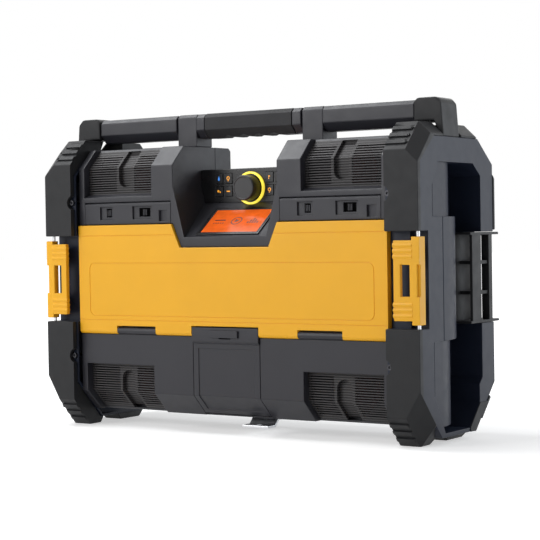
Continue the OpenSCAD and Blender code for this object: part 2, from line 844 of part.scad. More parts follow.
// Rectangular ring round the storage opening, from y0 to y1, grown by g
module seal_ring(g, y0, y1) {
    w = 4;
    difference() {
        block([-seal_out[0] - g, y0, seal_out[1] - g], [seal_out[0] + g, y1, seal_out[2] + g]);
        block([-seal_out[0] + w + g, y0 - 1, seal_out[1] + w + g],
              [seal_out[0] - w - g, y1 + 1, seal_out[2] - w - g]);
    }
}

module storage_door() color(yellow) on_origin() {
    tabs = [[-door_half, -knuckle_out - gap], [-knuckle_in + gap, -notch_x],
            [notch_x, knuckle_in - gap], [knuckle_out + gap, door_half]];
    rib_pitch = (door_half - 8) / 4;
    seams = [[[-door_half - 1, door_half + 1], door_top - 13.5], [[-door_half - 1, door_half + 1], charge_top + 6.5]];
    seam = [0.7, 0.6];              // width and depth of the fine seams in the face
    skirt_z = door_pin_z + knuckle_r + 1.5;
    difference() {
        union() {
            along_y(door_front, door_back, [
                [-door_half, skirt_z], [-notch_x, skirt_z], [-notch_x, charge_top + 1.5],
                [notch_x, charge_top + 1.5], [notch_x, skirt_z], [door_half, skirt_z],
                [door_half, door_top], [lip_half_high + gap, door_top],
                [lip_half_low + gap, lip_low - gap], [-lip_half_low - gap, lip_low - gap],
                [-lip_half_high - gap, door_top], [-door_half, door_top]
            ]);
            for (t = tabs) {
                rod_x(t[0], t[1], door_pin_y, door_pin_z, door_t / 2);
                block([t[0], door_front, door_pin_z], [t[1], door_back, skirt_z + 1]);
            }
        }
        for (x = [-4 : 3])
            block([x * rib_pitch + 2, door_front + door_skin, tray_low + 2],
                  [(x + 1) * rib_pitch - 2, door_back + 1, tray_high]);
        both_sides() rod_x(89, 179, door_pin_y, door_pin_z, pin_r + run);
        for (s = seams)
            block([s[0][0], door_front - 1, s[1]], [s[0][1], door_front + seam[1], s[1] + seam[0]]);
        difference() {
            face_panel(0, door_front + seam[1]);
            face_panel(seam[0], door_front + seam[1] + 1);
        }
    }
}

// The large round-cornered panel on the door's face, shrunk by t
module face_panel(t, back) {
    x = door_half - 17 - t;
    z = [charge_top + 12 + t, door_top - 47 - t];
    r = 8 - t;
    block([-x, door_front - 1, z[0] + r], [x, back, z[1] - r]);
    block([-x + r, door_front - 1, z[0]], [x - r, back, z[1]]);
    both_sides() for (c = [z[0] + r, z[1] - r]) rod_y(door_front - 1, back, x - r, c, r);
}

module door_seal() color(soot) on_origin() seal_ring(0, door_back + 0.3, pocket_back + 1.7);

module hinge_pins() color(steel) on_origin() {
    both_sides() rod_x(90, 178, door_pin_y, door_pin_z, pin_r);
    for (x = latch_x)
        rod_x(x - gap - wall + 1, x + latch_w + gap + wall - 1, latch_pin[0], latch_pin[1], pin_r);
    rod_x(-charge_half - 5, charge_half + 5, charge_pin[0], charge_pin[1], pin_r);
}

// One door latch; both are alike, with their left ends at x = 0
module door_latch() {
    windows = [[24, 45], [latch_w - 59, latch_w - 29]];
    window_z = [latch_low + 6, latch_high - 5];
    thumb = [latch_w - 18, latch_w - 4];
    difference() {
        union() {
            block([0, body_front, latch_low], [latch_w, body_front + latch_t, latch_pin[1]]);
            rod_x(0, latch_w, latch_pin[0], latch_pin[1], latch_t / 2);
        }
        rod_x(-1, latch_w + 1, latch_pin[0], latch_pin[1], pin_r + run);
        for (w = windows) {
            block([w[0], body_front - 1, window_z[0]],
                  [w[1], body_front + 2.5, min(window_z[1], latch_pin[1] - pin_r - 1)]);
            block([w[0] + 9, body_front - 1, window_z[0] + 3],
                  [w[1] - 4, body_front + latch_t + 1, latch_pin[1] - pin_r - 3]);
        }
        translate([thumb[0], body_front, latch_low + 3]) rotate([0, 0, -14])
            translate([0, -6, 0]) cube([thumb[1] - thumb[0], 9, 13]);
    }
}

module left_door_latch() color(charcoal) on_origin() translate([latch_x[0], 0, 0]) door_latch();
module right_door_latch() color(charcoal) on_origin() translate([latch_x[1], 0, 0]) door_latch();

// ---------------------------------------------------------------- battery door

slider_z = [117, 125.5];
slider_front = 8.3;

module battery_door() color(charcoal) on_origin() {
    panel_half = 41;
    panel_top = 103.5;
    side = [
        [door_front, charge_top], [door_front, 112], [body_front, 109], [body_front, lower_z],
        [charge_pin[0] - 3, charge_pin[1] - 5], [charge_pin[0] + 0.5, charge_pin[1] - 2],
        [body_front + charge_t, lower_z + 2], [body_front + charge_t, charge_top]
    ];
    difference() {
        union() {
            along_x(-charge_half, charge_half, side);
            rod_x(-charge_half, charge_half, charge_pin[0], charge_pin[1], charge_barrel_r);
        }
        difference() {
            block([-panel_half, 0, 0], [panel_half, 60, panel_top]);
            along_x(-panel_half - 1, panel_half + 1, inset(body_side, 1));
            block([-panel_half - 1, charge_pin[0] - 8, 0], [panel_half + 1, 60, 50]);
        }
        rod_x(-charge_half - 1, charge_half + 1, charge_pin[0], charge_pin[1], pin_r + run);
        block([-8.3, 0, slider_z[0] + 2 - slider_travel - 0.3], [8.3, 30, slider_z[1] - 1.2]);
        block([-14.3, body_front + 0.7, slider_z[0] - slider_travel - 0.3], [14.3, 30, slider_z[1] + 0.8]);
    }
}

module battery_catch() color(charcoal) on_origin() {
    back = body_front + charge_t - 0.5;
    block([-slider_half, slider_front, slider_z[0]], [slider_half, door_front - 0.2, slider_z[1]]);
    block([-8, slider_front + 1, slider_z[0] + 2], [8, back, slider_z[1] - 1.5]);
    block([-14, body_front + 1, slider_z[0]], [14, back, slider_z[1] + 0.5]);
}

module battery_bay() color(soot) on_origin() {
    x = bay_half - gap;
    z = [bay_low + gap, bay_high - gap];
    difference() {
        block([-x, charge_back + 0.2, z[0]], [x, bay_back, z[1]]);
        block([-x + bay_wall, charge_back - 1, z[0] + bay_wall], [x - bay_wall, bay_back - bay_wall, z[1] - bay_wall]);
    }
}

module battery_terminals() color(steel) on_origin() {
    back = bay_back - bay_wall;
    block([-17, back - 10, 58], [17, back, 76]);
    for (x = [-12, -4, 4, 12]) block([x - 0.6, back - 24, 60], [x + 0.6, back - 9, 72]);
}

// ---------------------------------------------------------------- side latches

module side_latch() {
    in_x = guard_half - 32.5;
    long_x = guard_half - 10;       // the taller part at the pin starts here
    z_mid = [notch_low + 9, notch_high - 10];
    z_long = [notch_low + 4.5, notch_high - 6];
    plate_y = [1, frame_front - 0.5];
    slot_mid = (z_mid[0] + z_mid[1]) / 2;
    slot_z = [slot_mid - 17.5, slot_mid + 17.5];
    wave_r = 3;
    wave_pitch = 6.2;
    difference() {
        union() {
            block([in_x, plate_y[0], z_mid[0]], [guard_half - 4, plate_y[1], z_mid[1]]);
            block([long_x, plate_y[0], z_long[0]], [guard_half, side_pin[1] - 1.5, z_long[1]]);
            block([guard_half - 4, plate_y[0], z_long[0]], [guard_half, 15, z_long[1]]);
            rod_z(z_long[0], z_long[1], side_pin[0], side_pin[1], 5);
            for (i = [0 : 2], z = [z_mid[0] + 5.6 + i * wave_pitch, z_mid[1] - 5.6 - i * wave_pitch])
                rod_x(in_x - 0.9, long_x + 0.5, plate_y[0] + wave_r - 0.8, z, wave_r);
        }
        rod_z(z_long[0] - 1, z_long[1] + 1, side_pin[0], side_pin[1], side_pin_r + run);
        block([guard_half - 24, -5, slot_z[0]], [guard_half - 12.5, plate_y[1] + 1, slot_z[1]]);
        block([guard_half - 3, -5, slot_z[0]], [guard_half + 1, 4, slot_z[1]]);
    }
}

module right_side_latch() color(yellow) on_origin() side_latch();
module left_side_latch() color(yellow) on_origin() mirror([1, 0, 0]) side_latch();

module side_latch_pins() color(steel) on_origin()
    both_sides() rod_z(side_pin_z[0], side_pin_z[1], side_pin[0], side_pin[1], side_pin_r);

// ---------------------------------------------------------------- controls

button_x = [-48, -34, 27, 41];
button_z = [knob_z - 3.2, knob_z + 12.5];
button_hole = 0.3;
board_front = panel_y + 9;
panel_low = floor_z + 0.3;
shaft_r = 3;

module control_panel() color(soot) on_origin() {
    half_low = recess_low + (recess_high - recess_low) * (panel_low - lip_z) / (shoulder_z - lip_z) - gap;
    half_high = recess_high - gap;
    difference() {
        union() {
            along_y(panel_y, panel_y + panel_t, [
                [-half_low, panel_low], [half_low, panel_low], [half_high, shoulder_z],
                [half_high, deck_top - 0.5], [-half_high, deck_top - 0.5], [-half_high, shoulder_z]
            ]);
            both_sides() for (z = [window_low + 5, window_high - 5])
                rod_y(panel_y + 1, board_front, window_half - 3.2, z, 2.4);
        }
        rod_y(0, 200, 0, knob_z, shaft_r + 1.6);
        for (x = button_x, z = button_z)
            block([x - button_w / 2 - button_hole, 0, z - button_h / 2 - button_hole],
                  [x + button_w / 2 + button_hole, 200, z + button_h / 2 + button_hole]);
    }
}

module light_ring() color("yellow") on_origin() difference() {
    rod_y(panel_y - 3.5, panel_y, 0, knob_z, ring_r);
    rod_y(0, 200, 0, knob_z, ring_r - ring_w);
}

module tuning_knob() color(charcoal) on_origin() {
    back = panel_y - 0.5;
    rim = 1;
    translate([0, back, knob_z]) rotate([90, 0, 0]) rotate_extrude() polygon([
        [0, 0], [knob_r - 1, 0], [knob_r, 2], [knob_r, knob_d - rim], [knob_r - rim, knob_d],
        [knob_r - 2.5, knob_d], [knob_r - 3, knob_d - 0.6], [0, knob_d - 0.6]
    ]);
    rod_y(back - 1, board_front - 1.5, 0, knob_z, shaft_r);
}

// A push button at column i and row j, with a flange behind the panel and a stem
module button(i, j) color(soot) on_origin() {
    x = button_x[i];
    z = button_z[j];
    back = panel_y + panel_t + 0.3;
    block([x - button_w / 2, panel_y - 0.8, z - button_h / 2], [x + button_w / 2, back + 0.5, z + button_h / 2]);
    block([x - button_w / 2 - 0.9, back, z - button_h / 2 - 0.9],
          [x + button_w / 2 + 0.9, back + 1, z + button_h / 2 + 0.9]);
    rod_y(back, board_front - 2.2 - button_travel - 0.3, x, z, 1.5);
}

module outer_low_button() button(0, 0);
module outer_top_button() button(0, 1);
module inner_low_button() button(1, 0);
module inner_top_button() button(1, 1);
module near_low_button() button(2, 0);
module near_top_button() button(2, 1);
module far_low_button() button(3, 0);
module far_top_button() button(3, 1);

// Circuit board with a key switch behind each button and the encoder that takes the
// spindle of the knob
module switch_board() color("darkgreen") on_origin() difference() {
    union() {
        block([-window_half + 0.5, board_front, window_low + 0.5],
              [window_half - 0.5, board_front + 1.6, window_high - 0.5]);
        for (x = button_x, z = button_z)
            block([x - 3, board_front - 2.2, z - 3], [x + 3, board_front + 0.5, z + 3]);
        block([-7, panel_y + panel_t + gap, knob_z - 7], [7, board_front + 0.5, knob_z + 7]);
        rod_y(panel_y + 0.5, panel_y + panel_t + 2, 0, knob_z, shaft_r + 1.3);
    }
    rod_y(0, board_front - 1, 0, knob_z, shaft_r + run);
}

bezel_l = lens_l + 2 * bezel_rim;

module display_bezel() color(charcoal) on_origin() on_display() difference() {
    block([-lens_half - bezel_rim, bezel_u, 0], [lens_half + bezel_rim, bezel_u + bezel_l, 1.6]);
    block([-lens_half - 0.2, bezel_u + bezel_rim - 0.2, -1],
          [lens_half + 0.2, bezel_u + bezel_rim + lens_l + 0.2, 3]);
}

module display_lens() color("orangered") on_origin() on_display()
    block([-lens_half, bezel_u + bezel_rim, 0], [lens_half, bezel_u + bezel_rim + lens_l, 1.1]);

module display_module() color("darkgreen") on_origin() on_display() {
    block([-lens_half - 1, bezel_u + 3, -wall - 7], [lens_half + 1, bezel_u + bezel_l - 3, -wall]);
    block([-view_half + 1, bezel_u + bezel_rim + 3, -wall - 1],
          [view_half - 1, bezel_u + bezel_l - bezel_rim - 3, -0.4]);
}

// ---------------------------------------------------------------- inside

module storage_tray() color(charcoal) on_origin() {
    x = tray_half - gap;
    z = [tray_low + gap, tray_high - gap];
    difference() {
        block([-x, pocket_back + 0.2, z[0]], [x, tray_back, z[1]]);
        block([-x + tray_wall, pocket_back - 1, z[0] + tray_wall], [x - tray_wall, tray_back - tray_wall, z[1] - tray_wall]);
    }
}

// Sockets at the right end of the storage bay: two USB ports over two round jacks
port_face = tray_half - 26;
module port_panel() color(soot) on_origin() {
    end_x = tray_half - gap - tray_wall;
    back = tray_back - tray_wall;
    socket_d = 14;
    usb_z = [tray_high - 34, tray_high - 28.4];
    jack_z = tray_low + 29;
    difference() {
        block([port_face, back - 46, tray_low + 14], [end_x, back, tray_high - 12]);
        for (y = [back - 38, back - 20])
            block([port_face - 1, y, usb_z[0]], [port_face + socket_d, y + 13, usb_z[1]]);
        for (y = [back - 32, back - 13]) rod_x(port_face - 1, port_face + socket_d, y, jack_z, 1.8);
    }
}

// Circuit board with its shielded tuner, three capacitors and a cooling block
module main_board() color("darkgreen") on_origin() {
    block([-board_half, board_y, board_z[0]], [board_half, board_y + 1.6, board_z[1]]);
    block([-90, board_y - 22, board_z[1] - 62], [-30, board_y + 0.5, board_z[1] - 12]);
    for (x = [0, 24, 48]) rod_y(board_y - 20, board_y + 0.5, x, board_z[0] + 40, 9);
    block([-20, board_y - 6, board_z[1] - 47], [20, board_y + 0.5, board_z[1] - 17]);
}

module power_supply() color(steel) on_origin() {
    x = [72, 152];
    z = body_floor + wall;
    block([x[0], split_y + 2, z], [x[1], body_back - lower_chamfer - 4, z + 5]);
    block([x[0] + 8, split_y + 5, z + 4], [x[1] - 8, body_back - lower_chamfer - 7, z + 44]);
    block([x[0] + 20, split_y + 3, z + 12], [x[1] - 20, body_back - lower_chamfer - 5, z + 38]);
}

// Mains socket in the rear wall: a flanged well with two contact pins
module power_inlet() color(soot) on_origin() {
    flange = 3;
    well = 3;
    mid = [(inlet_x[0] + inlet_x[1]) / 2, (inlet_z[0] + inlet_z[1]) / 2];
    difference() {
        union() {
            block([inlet_x[0] - flange, body_back, inlet_z[0] - flange],
                  [inlet_x[1] + flange, body_back + 2, inlet_z[1] + flange]);
            block([inlet_x[0] + gap, body_back - 24, inlet_z[0] + gap],
                  [inlet_x[1] - gap, body_back + 1, inlet_z[1] - gap]);
        }
        block([inlet_x[0] + well, body_back - 20, inlet_z[0] + well],
              [inlet_x[1] - well, body_back + 3, inlet_z[1] - well]);
    }
    for (x = [-5, 5]) rod_y(body_back - 21, body_back - 6, mid[0] + x, mid[1], 1.6);
}

// Steel tongue under the front of the body, with an eye for a lanyard or lock
module base_bracket() color(steel) on_origin() {
    top = body_floor;
    difference() {
        along_x(10, 47, [
            [31, 9], [48, 9], [56, top - 3], [100, top - 3], [100, top], [54, top], [46.5, 12], [31, 12]
        ]);
        rod_z(0, top + 5, 28.5, 39, 4);
    }
}

front_housing();
rear_cover();
left_end_frame();
right_end_frame();
left_catch();
right_catch();
front_upper_left_guard();
front_upper_right_guard();
front_lower_left_guard();
front_lower_right_guard();
rear_upper_left_guard();
rear_upper_right_guard();
rear_lower_left_guard();
rear_lower_right_guard();
guard_screws();
case_screws();
upper_left_grille();
upper_right_grille();
lower_left_grille();
lower_right_grille();
speaker_baskets();
speaker_cones();
handle_bar();
handle_grip();
left_handle_cap();
right_handle_cap();
handle_posts();
storage_door();
door_seal();
hinge_pins();
left_door_latch();
right_door_latch();
battery_door();
battery_catch();
battery_bay();
battery_terminals();
left_side_latch();
right_side_latch();
side_latch_pins();
control_panel();
light_ring();
tuning_knob();
outer_top_button();
outer_low_button();
inner_top_button();
inner_low_button();
near_top_button();
near_low_button();
far_top_button();
far_low_button();
switch_board();
display_bezel();
display_lens();
display_module();
storage_tray();
port_panel();
main_board();
power_supply();
power_inlet();
base_bracket();
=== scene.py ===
# %% [markdown]
# # A jobsite radio
#
# The construction of this radio is finished before this script starts: sixty rigid parts
# that sit on bodies which can hinge, slide and turn. What is left is how the radio looks.
# Moulded plastic never has a knife edge, each kind of plastic has its own grain, the end
# frames have soft pillars that a plain solid leaves out, and small trim such as button
# marks, latch hooks and ribs gives the eye its sense of scale. This script gives each part
# those things, and leaves every part where the construction put it.

# %% Load the frame
import json
import math

import bmesh
import bpy
import numpy as np
from mathutils import Matrix, Vector
from mathutils.geometry import intersect_point_line


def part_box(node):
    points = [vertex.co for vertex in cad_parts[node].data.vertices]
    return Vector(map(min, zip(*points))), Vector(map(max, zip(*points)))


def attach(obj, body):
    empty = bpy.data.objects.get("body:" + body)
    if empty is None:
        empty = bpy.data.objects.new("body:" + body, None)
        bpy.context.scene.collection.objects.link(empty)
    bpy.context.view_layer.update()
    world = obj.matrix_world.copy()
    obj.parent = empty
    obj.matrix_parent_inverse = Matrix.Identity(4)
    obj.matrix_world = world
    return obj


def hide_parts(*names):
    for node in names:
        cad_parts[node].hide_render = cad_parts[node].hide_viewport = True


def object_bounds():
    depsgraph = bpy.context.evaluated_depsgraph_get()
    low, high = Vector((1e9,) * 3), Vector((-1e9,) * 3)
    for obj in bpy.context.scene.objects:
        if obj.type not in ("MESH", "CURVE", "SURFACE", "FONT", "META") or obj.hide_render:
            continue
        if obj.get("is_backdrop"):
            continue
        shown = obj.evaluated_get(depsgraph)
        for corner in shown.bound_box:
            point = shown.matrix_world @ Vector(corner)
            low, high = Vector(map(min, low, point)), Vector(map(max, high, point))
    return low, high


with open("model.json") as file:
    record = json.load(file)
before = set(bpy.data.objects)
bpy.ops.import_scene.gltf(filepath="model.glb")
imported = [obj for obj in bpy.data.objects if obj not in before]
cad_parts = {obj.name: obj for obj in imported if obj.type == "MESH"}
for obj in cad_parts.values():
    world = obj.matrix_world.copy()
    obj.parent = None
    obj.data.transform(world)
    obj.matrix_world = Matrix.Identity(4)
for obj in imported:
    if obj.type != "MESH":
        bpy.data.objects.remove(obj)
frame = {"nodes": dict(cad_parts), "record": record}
cad_box = [list(corner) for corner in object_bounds()]
nodes = frame["nodes"]
record = frame["record"]
slot_of = {row["node"]: row["material_slot"] for row in record["subparts"]}
body_of = {node: body for body, members in record["behaviour"]["bodies"].items() for node in members}

# %% [markdown]
# ## Measuring
#
# The radio is drawn in millimetres, with depth measured from the front faces of its corner
# guards, while Blender works in metres about the origin. One small function turns the
# first into the second, so that every place below can be written as a size that could be
# checked with a ruler.

# %% Millimetres to metres
MM = 0.001
FRONT = cad_box[0][1]


def at(x, y, z):
    """The point x across, y behind the guards' front faces and z up, all in millimetres."""
    return Vector((x * MM, FRONT + y * MM, z * MM))


print("whole radio, mm:", [round((b - a) / MM, 1) for a, b in zip(*cad_box)])

# %% [markdown]
# ## The camera
#
# The radio is seen from its front right, just above the level of its door. The camera is
# given by where its lens stands and by three turns: yaw to the left, pitch down and roll.
# A long lens keeps the upright edges nearly parallel, as in a product picture.

# %% Camera
CAMERA_PLACE = at(1108.2, -1537.2, 242.9)
YAW, PITCH, ROLL = 0.592, -0.024, -0.016
LENS = 106.67
SENSOR = 36.0


def camera_axes(yaw, pitch, roll):
    """The camera's right, up and back directions."""
    ahead = Vector((-math.sin(yaw) * math.cos(pitch), math.cos(yaw) * math.cos(pitch), math.sin(pitch)))
    right = Vector((math.cos(yaw), math.sin(yaw), 0))
    up = right.cross(ahead)
    rolled_right = math.cos(roll) * right + math.sin(roll) * up
    rolled_up = -math.sin(roll) * right + math.cos(roll) * up
    return rolled_right, rolled_up, -ahead


camera_data = bpy.data.cameras.new("camera")
camera_data.lens = LENS
camera_data.sensor_width = SENSOR
camera_data.clip_start = 0.05
camera_data.clip_end = 60
camera = bpy.data.objects.new("camera", camera_data)
bpy.context.scene.collection.objects.link(camera)
turn = Matrix(camera_axes(YAW, PITCH, ROLL)).transposed().to_4x4()
camera.matrix_world = Matrix.Translation(CAMERA_PLACE) @ turn
bpy.context.scene.camera = camera
print("camera at", [round(c, 3) for c in CAMERA_PLACE])

# %% [markdown]
# ## The studio
#
# A dark product needs large soft lamps, because its form shows only in what it reflects.
# One lamp hangs over the radio and lights the upward chamfers. One stands in front, on the
# left. A cooler one on the right, behind the radio, reaches into the deep recess of the end
# frame, and a weak one lights the back. The room itself is white to the camera and to
# reflections, and a quiet grey to everything else, so the background stays clean without
# flooding the object with light.

# %% Lamps
MIDDLE = at(0, 99, 190)


def softbox(name, place, size, power, colour):
    """A rectangular lamp of that size in metres, turned to the middle of the radio."""
    lamp = bpy.data.lights.new(name, "AREA")
    lamp.shape = "RECTANGLE"
    lamp.size, lamp.size_y = size
    lamp.energy = power
    lamp.color = colour
    holder = bpy.data.objects.new(name, lamp)
    bpy.context.scene.collection.objects.link(holder)
    holder.location = place
    holder.rotation_euler = (MIDDLE - place).to_track_quat("-Z", "Y").to_euler()


softbox("top_lamp", Vector((-0.9, -0.25, 1.9)), (1.3, 1.1), 27, (0.97, 0.985, 1.0))
softbox("front_lamp", Vector((-1.3, -2.3, 1.1)), (1.3, 1.2), 28, (1.0, 1.0, 1.0))
softbox("side_lamp", Vector((1.9, 1.5, 0.7)), (1.0, 1.5), 20, (0.86, 0.93, 1.0))
softbox("back_lamp", Vector((-0.9, 2.2, 1.4)), (1.4, 1.0), 12, (1.0, 1.0, 1.0))


# %% The room's light
def any_of(tree, *kinds):
    """1 for the kinds of ray that are named, and 0 for every other ray."""
    paths = tree.nodes.new("ShaderNodeLightPath")
    seen = paths.outputs[kinds[0]]
    for kind in kinds[1:]:
        either = tree.nodes.new("ShaderNodeMath")
        either.operation = "MAXIMUM"
        tree.links.new(seen, either.inputs[0])
        tree.links.new(paths.outputs[kind], either.inputs[1])
        seen = either.outputs[0]
    return seen


def mapped(tree, value, source, target):
    """A number that runs over the target pair while value runs over the source pair."""
    spread = tree.nodes.new("ShaderNodeMapRange")
    spread.inputs["From Min"].default_value, spread.inputs["From Max"].default_value = source
    spread.inputs["To Min"].default_value, spread.inputs["To Max"].default_value = target
    tree.links.new(value, spread.inputs["Value"])
    return spread.outputs["Result"]


AMBIENT = 0.27
world = bpy.data.worlds.new("studio")
bpy.context.scene.world = world
world.use_nodes = True
tree = world.node_tree
background = tree.nodes["Background"]
white_to = any_of(tree, "Is Camera Ray", "Is Glossy Ray", "Is Transmission Ray")
tree.links.new(mapped(tree, white_to, (0, 1), (AMBIENT, 1.0)), background.inputs["Strength"])
background.inputs["Color"].default_value = (1, 1, 1, 1)
bpy.context.scene.view_settings.view_transform = "Standard"
print("room: ambient", AMBIENT)

# %% [markdown]
# ## The floor
#
# The floor is a plain pale disc. A little light of its own, for the camera and for
# reflections only, brings it up to the white of the room without hiding the soft shadow
# under the radio. That light grows with the distance from the radio, so the floor runs
# into the background without a horizon.

# %% Floor
FLOOR_RADIUS = 14
FLOOR_DROP = 0.0004
GLOW_REACH = (0.7, 2.6)  # metres from the radio at which the glow starts to grow and is full
NEAR_GLOW, FAR_GLOW = 0.5, 1.0
PALE = 0.82

floor_mesh = bpy.data.meshes.new("floor")
bm = bmesh.new()
bmesh.ops.create_circle(bm, cap_ends=True, segments=96, radius=FLOOR_RADIUS)
bmesh.ops.translate(bm, verts=bm.verts, vec=(0, 0, -FLOOR_DROP))
bm.to_mesh(floor_mesh)
bm.free()
floor = bpy.data.objects.new("floor", floor_mesh)
bpy.context.scene.collection.objects.link(floor)
floor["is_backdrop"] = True

floor_paint = bpy.data.materials.new("floor_paint")
floor_paint.use_nodes = True
tree = floor_paint.node_tree
tree.nodes.clear()
output = tree.nodes.new("ShaderNodeOutputMaterial")
total = tree.nodes.new("ShaderNodeAddShader")
matt = tree.nodes.new("ShaderNodeBsdfDiffuse")
matt.inputs["Color"].default_value = (PALE, PALE, PALE, 1)
glow = tree.nodes.new("ShaderNodeEmission")
away = tree.nodes.new("ShaderNodeVectorMath")
away.operation = "LENGTH"
tree.links.new(tree.nodes.new("ShaderNodeTexCoord").outputs["Object"], away.inputs[0])
strength = mapped(tree, away.outputs["Value"], GLOW_REACH, (NEAR_GLOW, FAR_GLOW))
share = tree.nodes.new("ShaderNodeMath")
share.operation = "MULTIPLY"
tree.links.new(any_of(tree, "Is Camera Ray", "Is Glossy Ray"), share.inputs[0])
tree.links.new(strength, share.inputs[1])
tree.links.new(share.outputs[0], glow.inputs["Strength"])
tree.links.new(matt.outputs[0], total.inputs[0])
tree.links.new(glow.outputs[0], total.inputs[1])
tree.links.new(total.outputs[0], output.inputs["Surface"])
floor_mesh.materials.append(floor_paint)
print("floor: radius", FLOOR_RADIUS, "m")

# %% [markdown]
# ## Moulded plastic
#
# Four things make plastic look moulded. Its colour drifts a little over a large part. Its
# gloss drifts too, because the steel of the mould is never evenly polished. It carries a
# fine pebble grain, etched into the mould so that scratches don't show. And it has a weak
# clear reflection at grazing angles, which the shader gives by itself. A function builds
# all of that from object coordinates, so the grain has the same real size on every part.

# %% Plastic
def noise(tree, coords, scale, detail=2.0, rough=0.5):
    """A noise texture on object coordinates, with its features 1/scale metres apart."""
    texture = tree.nodes.new("ShaderNodeTexNoise")
    texture.inputs["Scale"].default_value = scale
    texture.inputs["Detail"].default_value = detail
    texture.inputs["Roughness"].default_value = rough
    tree.links.new(coords, texture.inputs["Vector"])
    return texture.outputs["Fac"]


NOISE_SPAN = (0.3, 0.7)  # nearly all of a noise texture's values


def between(tree, value, low, high):
    """A number that runs from low to high as value runs over the span of a noise texture."""
    return mapped(tree, value, NOISE_SPAN, (low, high))


def tinted(tree, value, low, high):
    """A colour that runs from low to high as value runs over the span of a noise texture."""
    ramp = tree.nodes.new("ShaderNodeValToRGB")
    for stop, position, colour in zip(ramp.color_ramp.elements, NOISE_SPAN, (low, high)):
        stop.position = position
        stop.color = (*colour, 1)
    tree.links.new(value, ramp.inputs["Fac"])
    return ramp.outputs["Color"]


def raised(tree, height, depth_mm, under=None):
    """A bump of that depth in millimetres, on top of an earlier one if there is one."""
    bump = tree.nodes.new("ShaderNodeBump")
    bump.inputs["Distance"].default_value = depth_mm * MM
    bump.inputs["Strength"].default_value = 1.0
    tree.links.new(height, bump.inputs["Height"])
    if under is not None:
        tree.links.new(under, bump.inputs["Normal"])
    return bump.outputs["Normal"]


def new_material(name):
    """A material, its node tree, its main shader and its object coordinates."""
    material = bpy.data.materials.new(name)
    material.use_nodes = True
    tree = material.node_tree
    coords = tree.nodes.new("ShaderNodeTexCoord").outputs["Object"]
    return material, tree, tree.nodes["Principled BSDF"], coords


def scaled(colour, share):
    """A colour made brighter or darker."""
    return tuple(min(1.0, c * share) for c in colour)


DRIFT_MM, CLOUD_MM = 60, 14  # how far apart the changes of colour and of gloss lie


def plastic(name, colour, gloss, grain_mm=0.5, grain_depth=0.02, drift=0.06, specular=0.35):
    """Moulded plastic. gloss is (lowest, highest) roughness; drift is how far the colour wanders."""
    material, tree, shader, coords = new_material(name)
    broad = noise(tree, coords, 1 / (DRIFT_MM * MM), 3)
    cloudy = noise(tree, coords, 1 / (CLOUD_MM * MM), 4)
    grain = noise(tree, coords, 1 / (grain_mm * MM), 1.5)
    tone = tinted(tree, broad, scaled(colour, 1 - drift), scaled(colour, 1 + drift))
    tree.links.new(tone, shader.inputs["Base Color"])
    tree.links.new(between(tree, cloudy, *gloss), shader.inputs["Roughness"])
    tree.links.new(raised(tree, grain, grain_depth), shader.inputs["Normal"])
    shader.inputs["Specular IOR Level"].default_value = specular
    return material


# %% [markdown]
# ## Rubber, steel, paper and light
#
# The carrying grip is soft rubber with a coarser, duller grain. The pins, screws and the
# tongue under the body are bright plated steel, drawn in one direction. The loudspeaker
# cones are pressed paper. The ring round the knob and the display are lit from behind, so
# they give light instead of only reflecting it.

# %% Other finishes
WAVE_PERIOD = math.pi / 10  # of a wave texture at scale 1, in metres


def rubber(name, colour):
    """Soft rubber: a dull coarse grain, and a colour that drifts over a couple of centimetres."""
    material, tree, shader, coords = new_material(name)
    grain = noise(tree, coords, 1 / (0.9 * MM), 3)
    broad = noise(tree, coords, 1 / (20 * MM))
    tone = tinted(tree, broad, scaled(colour, 0.85), scaled(colour, 1.15))
    tree.links.new(tone, shader.inputs["Base Color"])
    tree.links.new(between(tree, grain, 0.58, 0.78), shader.inputs["Roughness"])
    tree.links.new(raised(tree, grain, 0.05), shader.inputs["Normal"])
    shader.inputs["Specular IOR Level"].default_value = 0.35
    return material


def plated_steel(name, colour):
    """Bright metal with fine lines drawn along x."""
    material, tree, shader, coords = new_material(name)
    drawn = tree.nodes.new("ShaderNodeMapping")
    drawn.inputs["Scale"].default_value = (30, 900, 900)
    tree.links.new(coords, drawn.inputs["Vector"])
    lines = noise(tree, drawn.outputs["Vector"], 1.0, 3)
    tone = tinted(tree, lines, scaled(colour, 0.88), scaled(colour, 1.1))
    tree.links.new(tone, shader.inputs["Base Color"])
    tree.links.new(between(tree, lines, 0.22, 0.38), shader.inputs["Roughness"])
    tree.links.new(raised(tree, lines, 0.01), shader.inputs["Normal"])
    shader.inputs["Metallic"].default_value = 1.0
    return material


def pressed_paper(name, colour):
    """Paper pressed from short fibres."""
    material, tree, shader, coords = new_material(name)
    fibres = noise(tree, coords, 1 / (1.6 * MM), 6, 0.7)
    tone = tinted(tree, fibres, scaled(colour, 0.7), scaled(colour, 1.4))
    tree.links.new(tone, shader.inputs["Base Color"])
    tree.links.new(between(tree, fibres, 0.7, 0.9), shader.inputs["Roughness"])
    tree.links.new(raised(tree, fibres, 0.12), shader.inputs["Normal"])
    return material


def solder_mask(name, colour):
    """Circuit board: green lacquer over a faint grid of copper tracks."""
    material, tree, shader, coords = new_material(name)
    tracks = tree.nodes.new("ShaderNodeTexBrick")
    tracks.inputs["Scale"].default_value = 1 / (9 * MM)
    tracks.inputs["Mortar Size"].default_value = 0.06
    tracks.inputs["Color1"].default_value = (*colour, 1)
    tracks.inputs["Color2"].default_value = (*scaled(colour, 0.8), 1)
    tracks.inputs["Mortar"].default_value = (*scaled(colour, 2.2), 1)
    tree.links.new(coords, tracks.inputs["Vector"])
    tree.links.new(tracks.outputs["Color"], shader.inputs["Base Color"])
    shader.inputs["Roughness"].default_value = 0.35
    return material


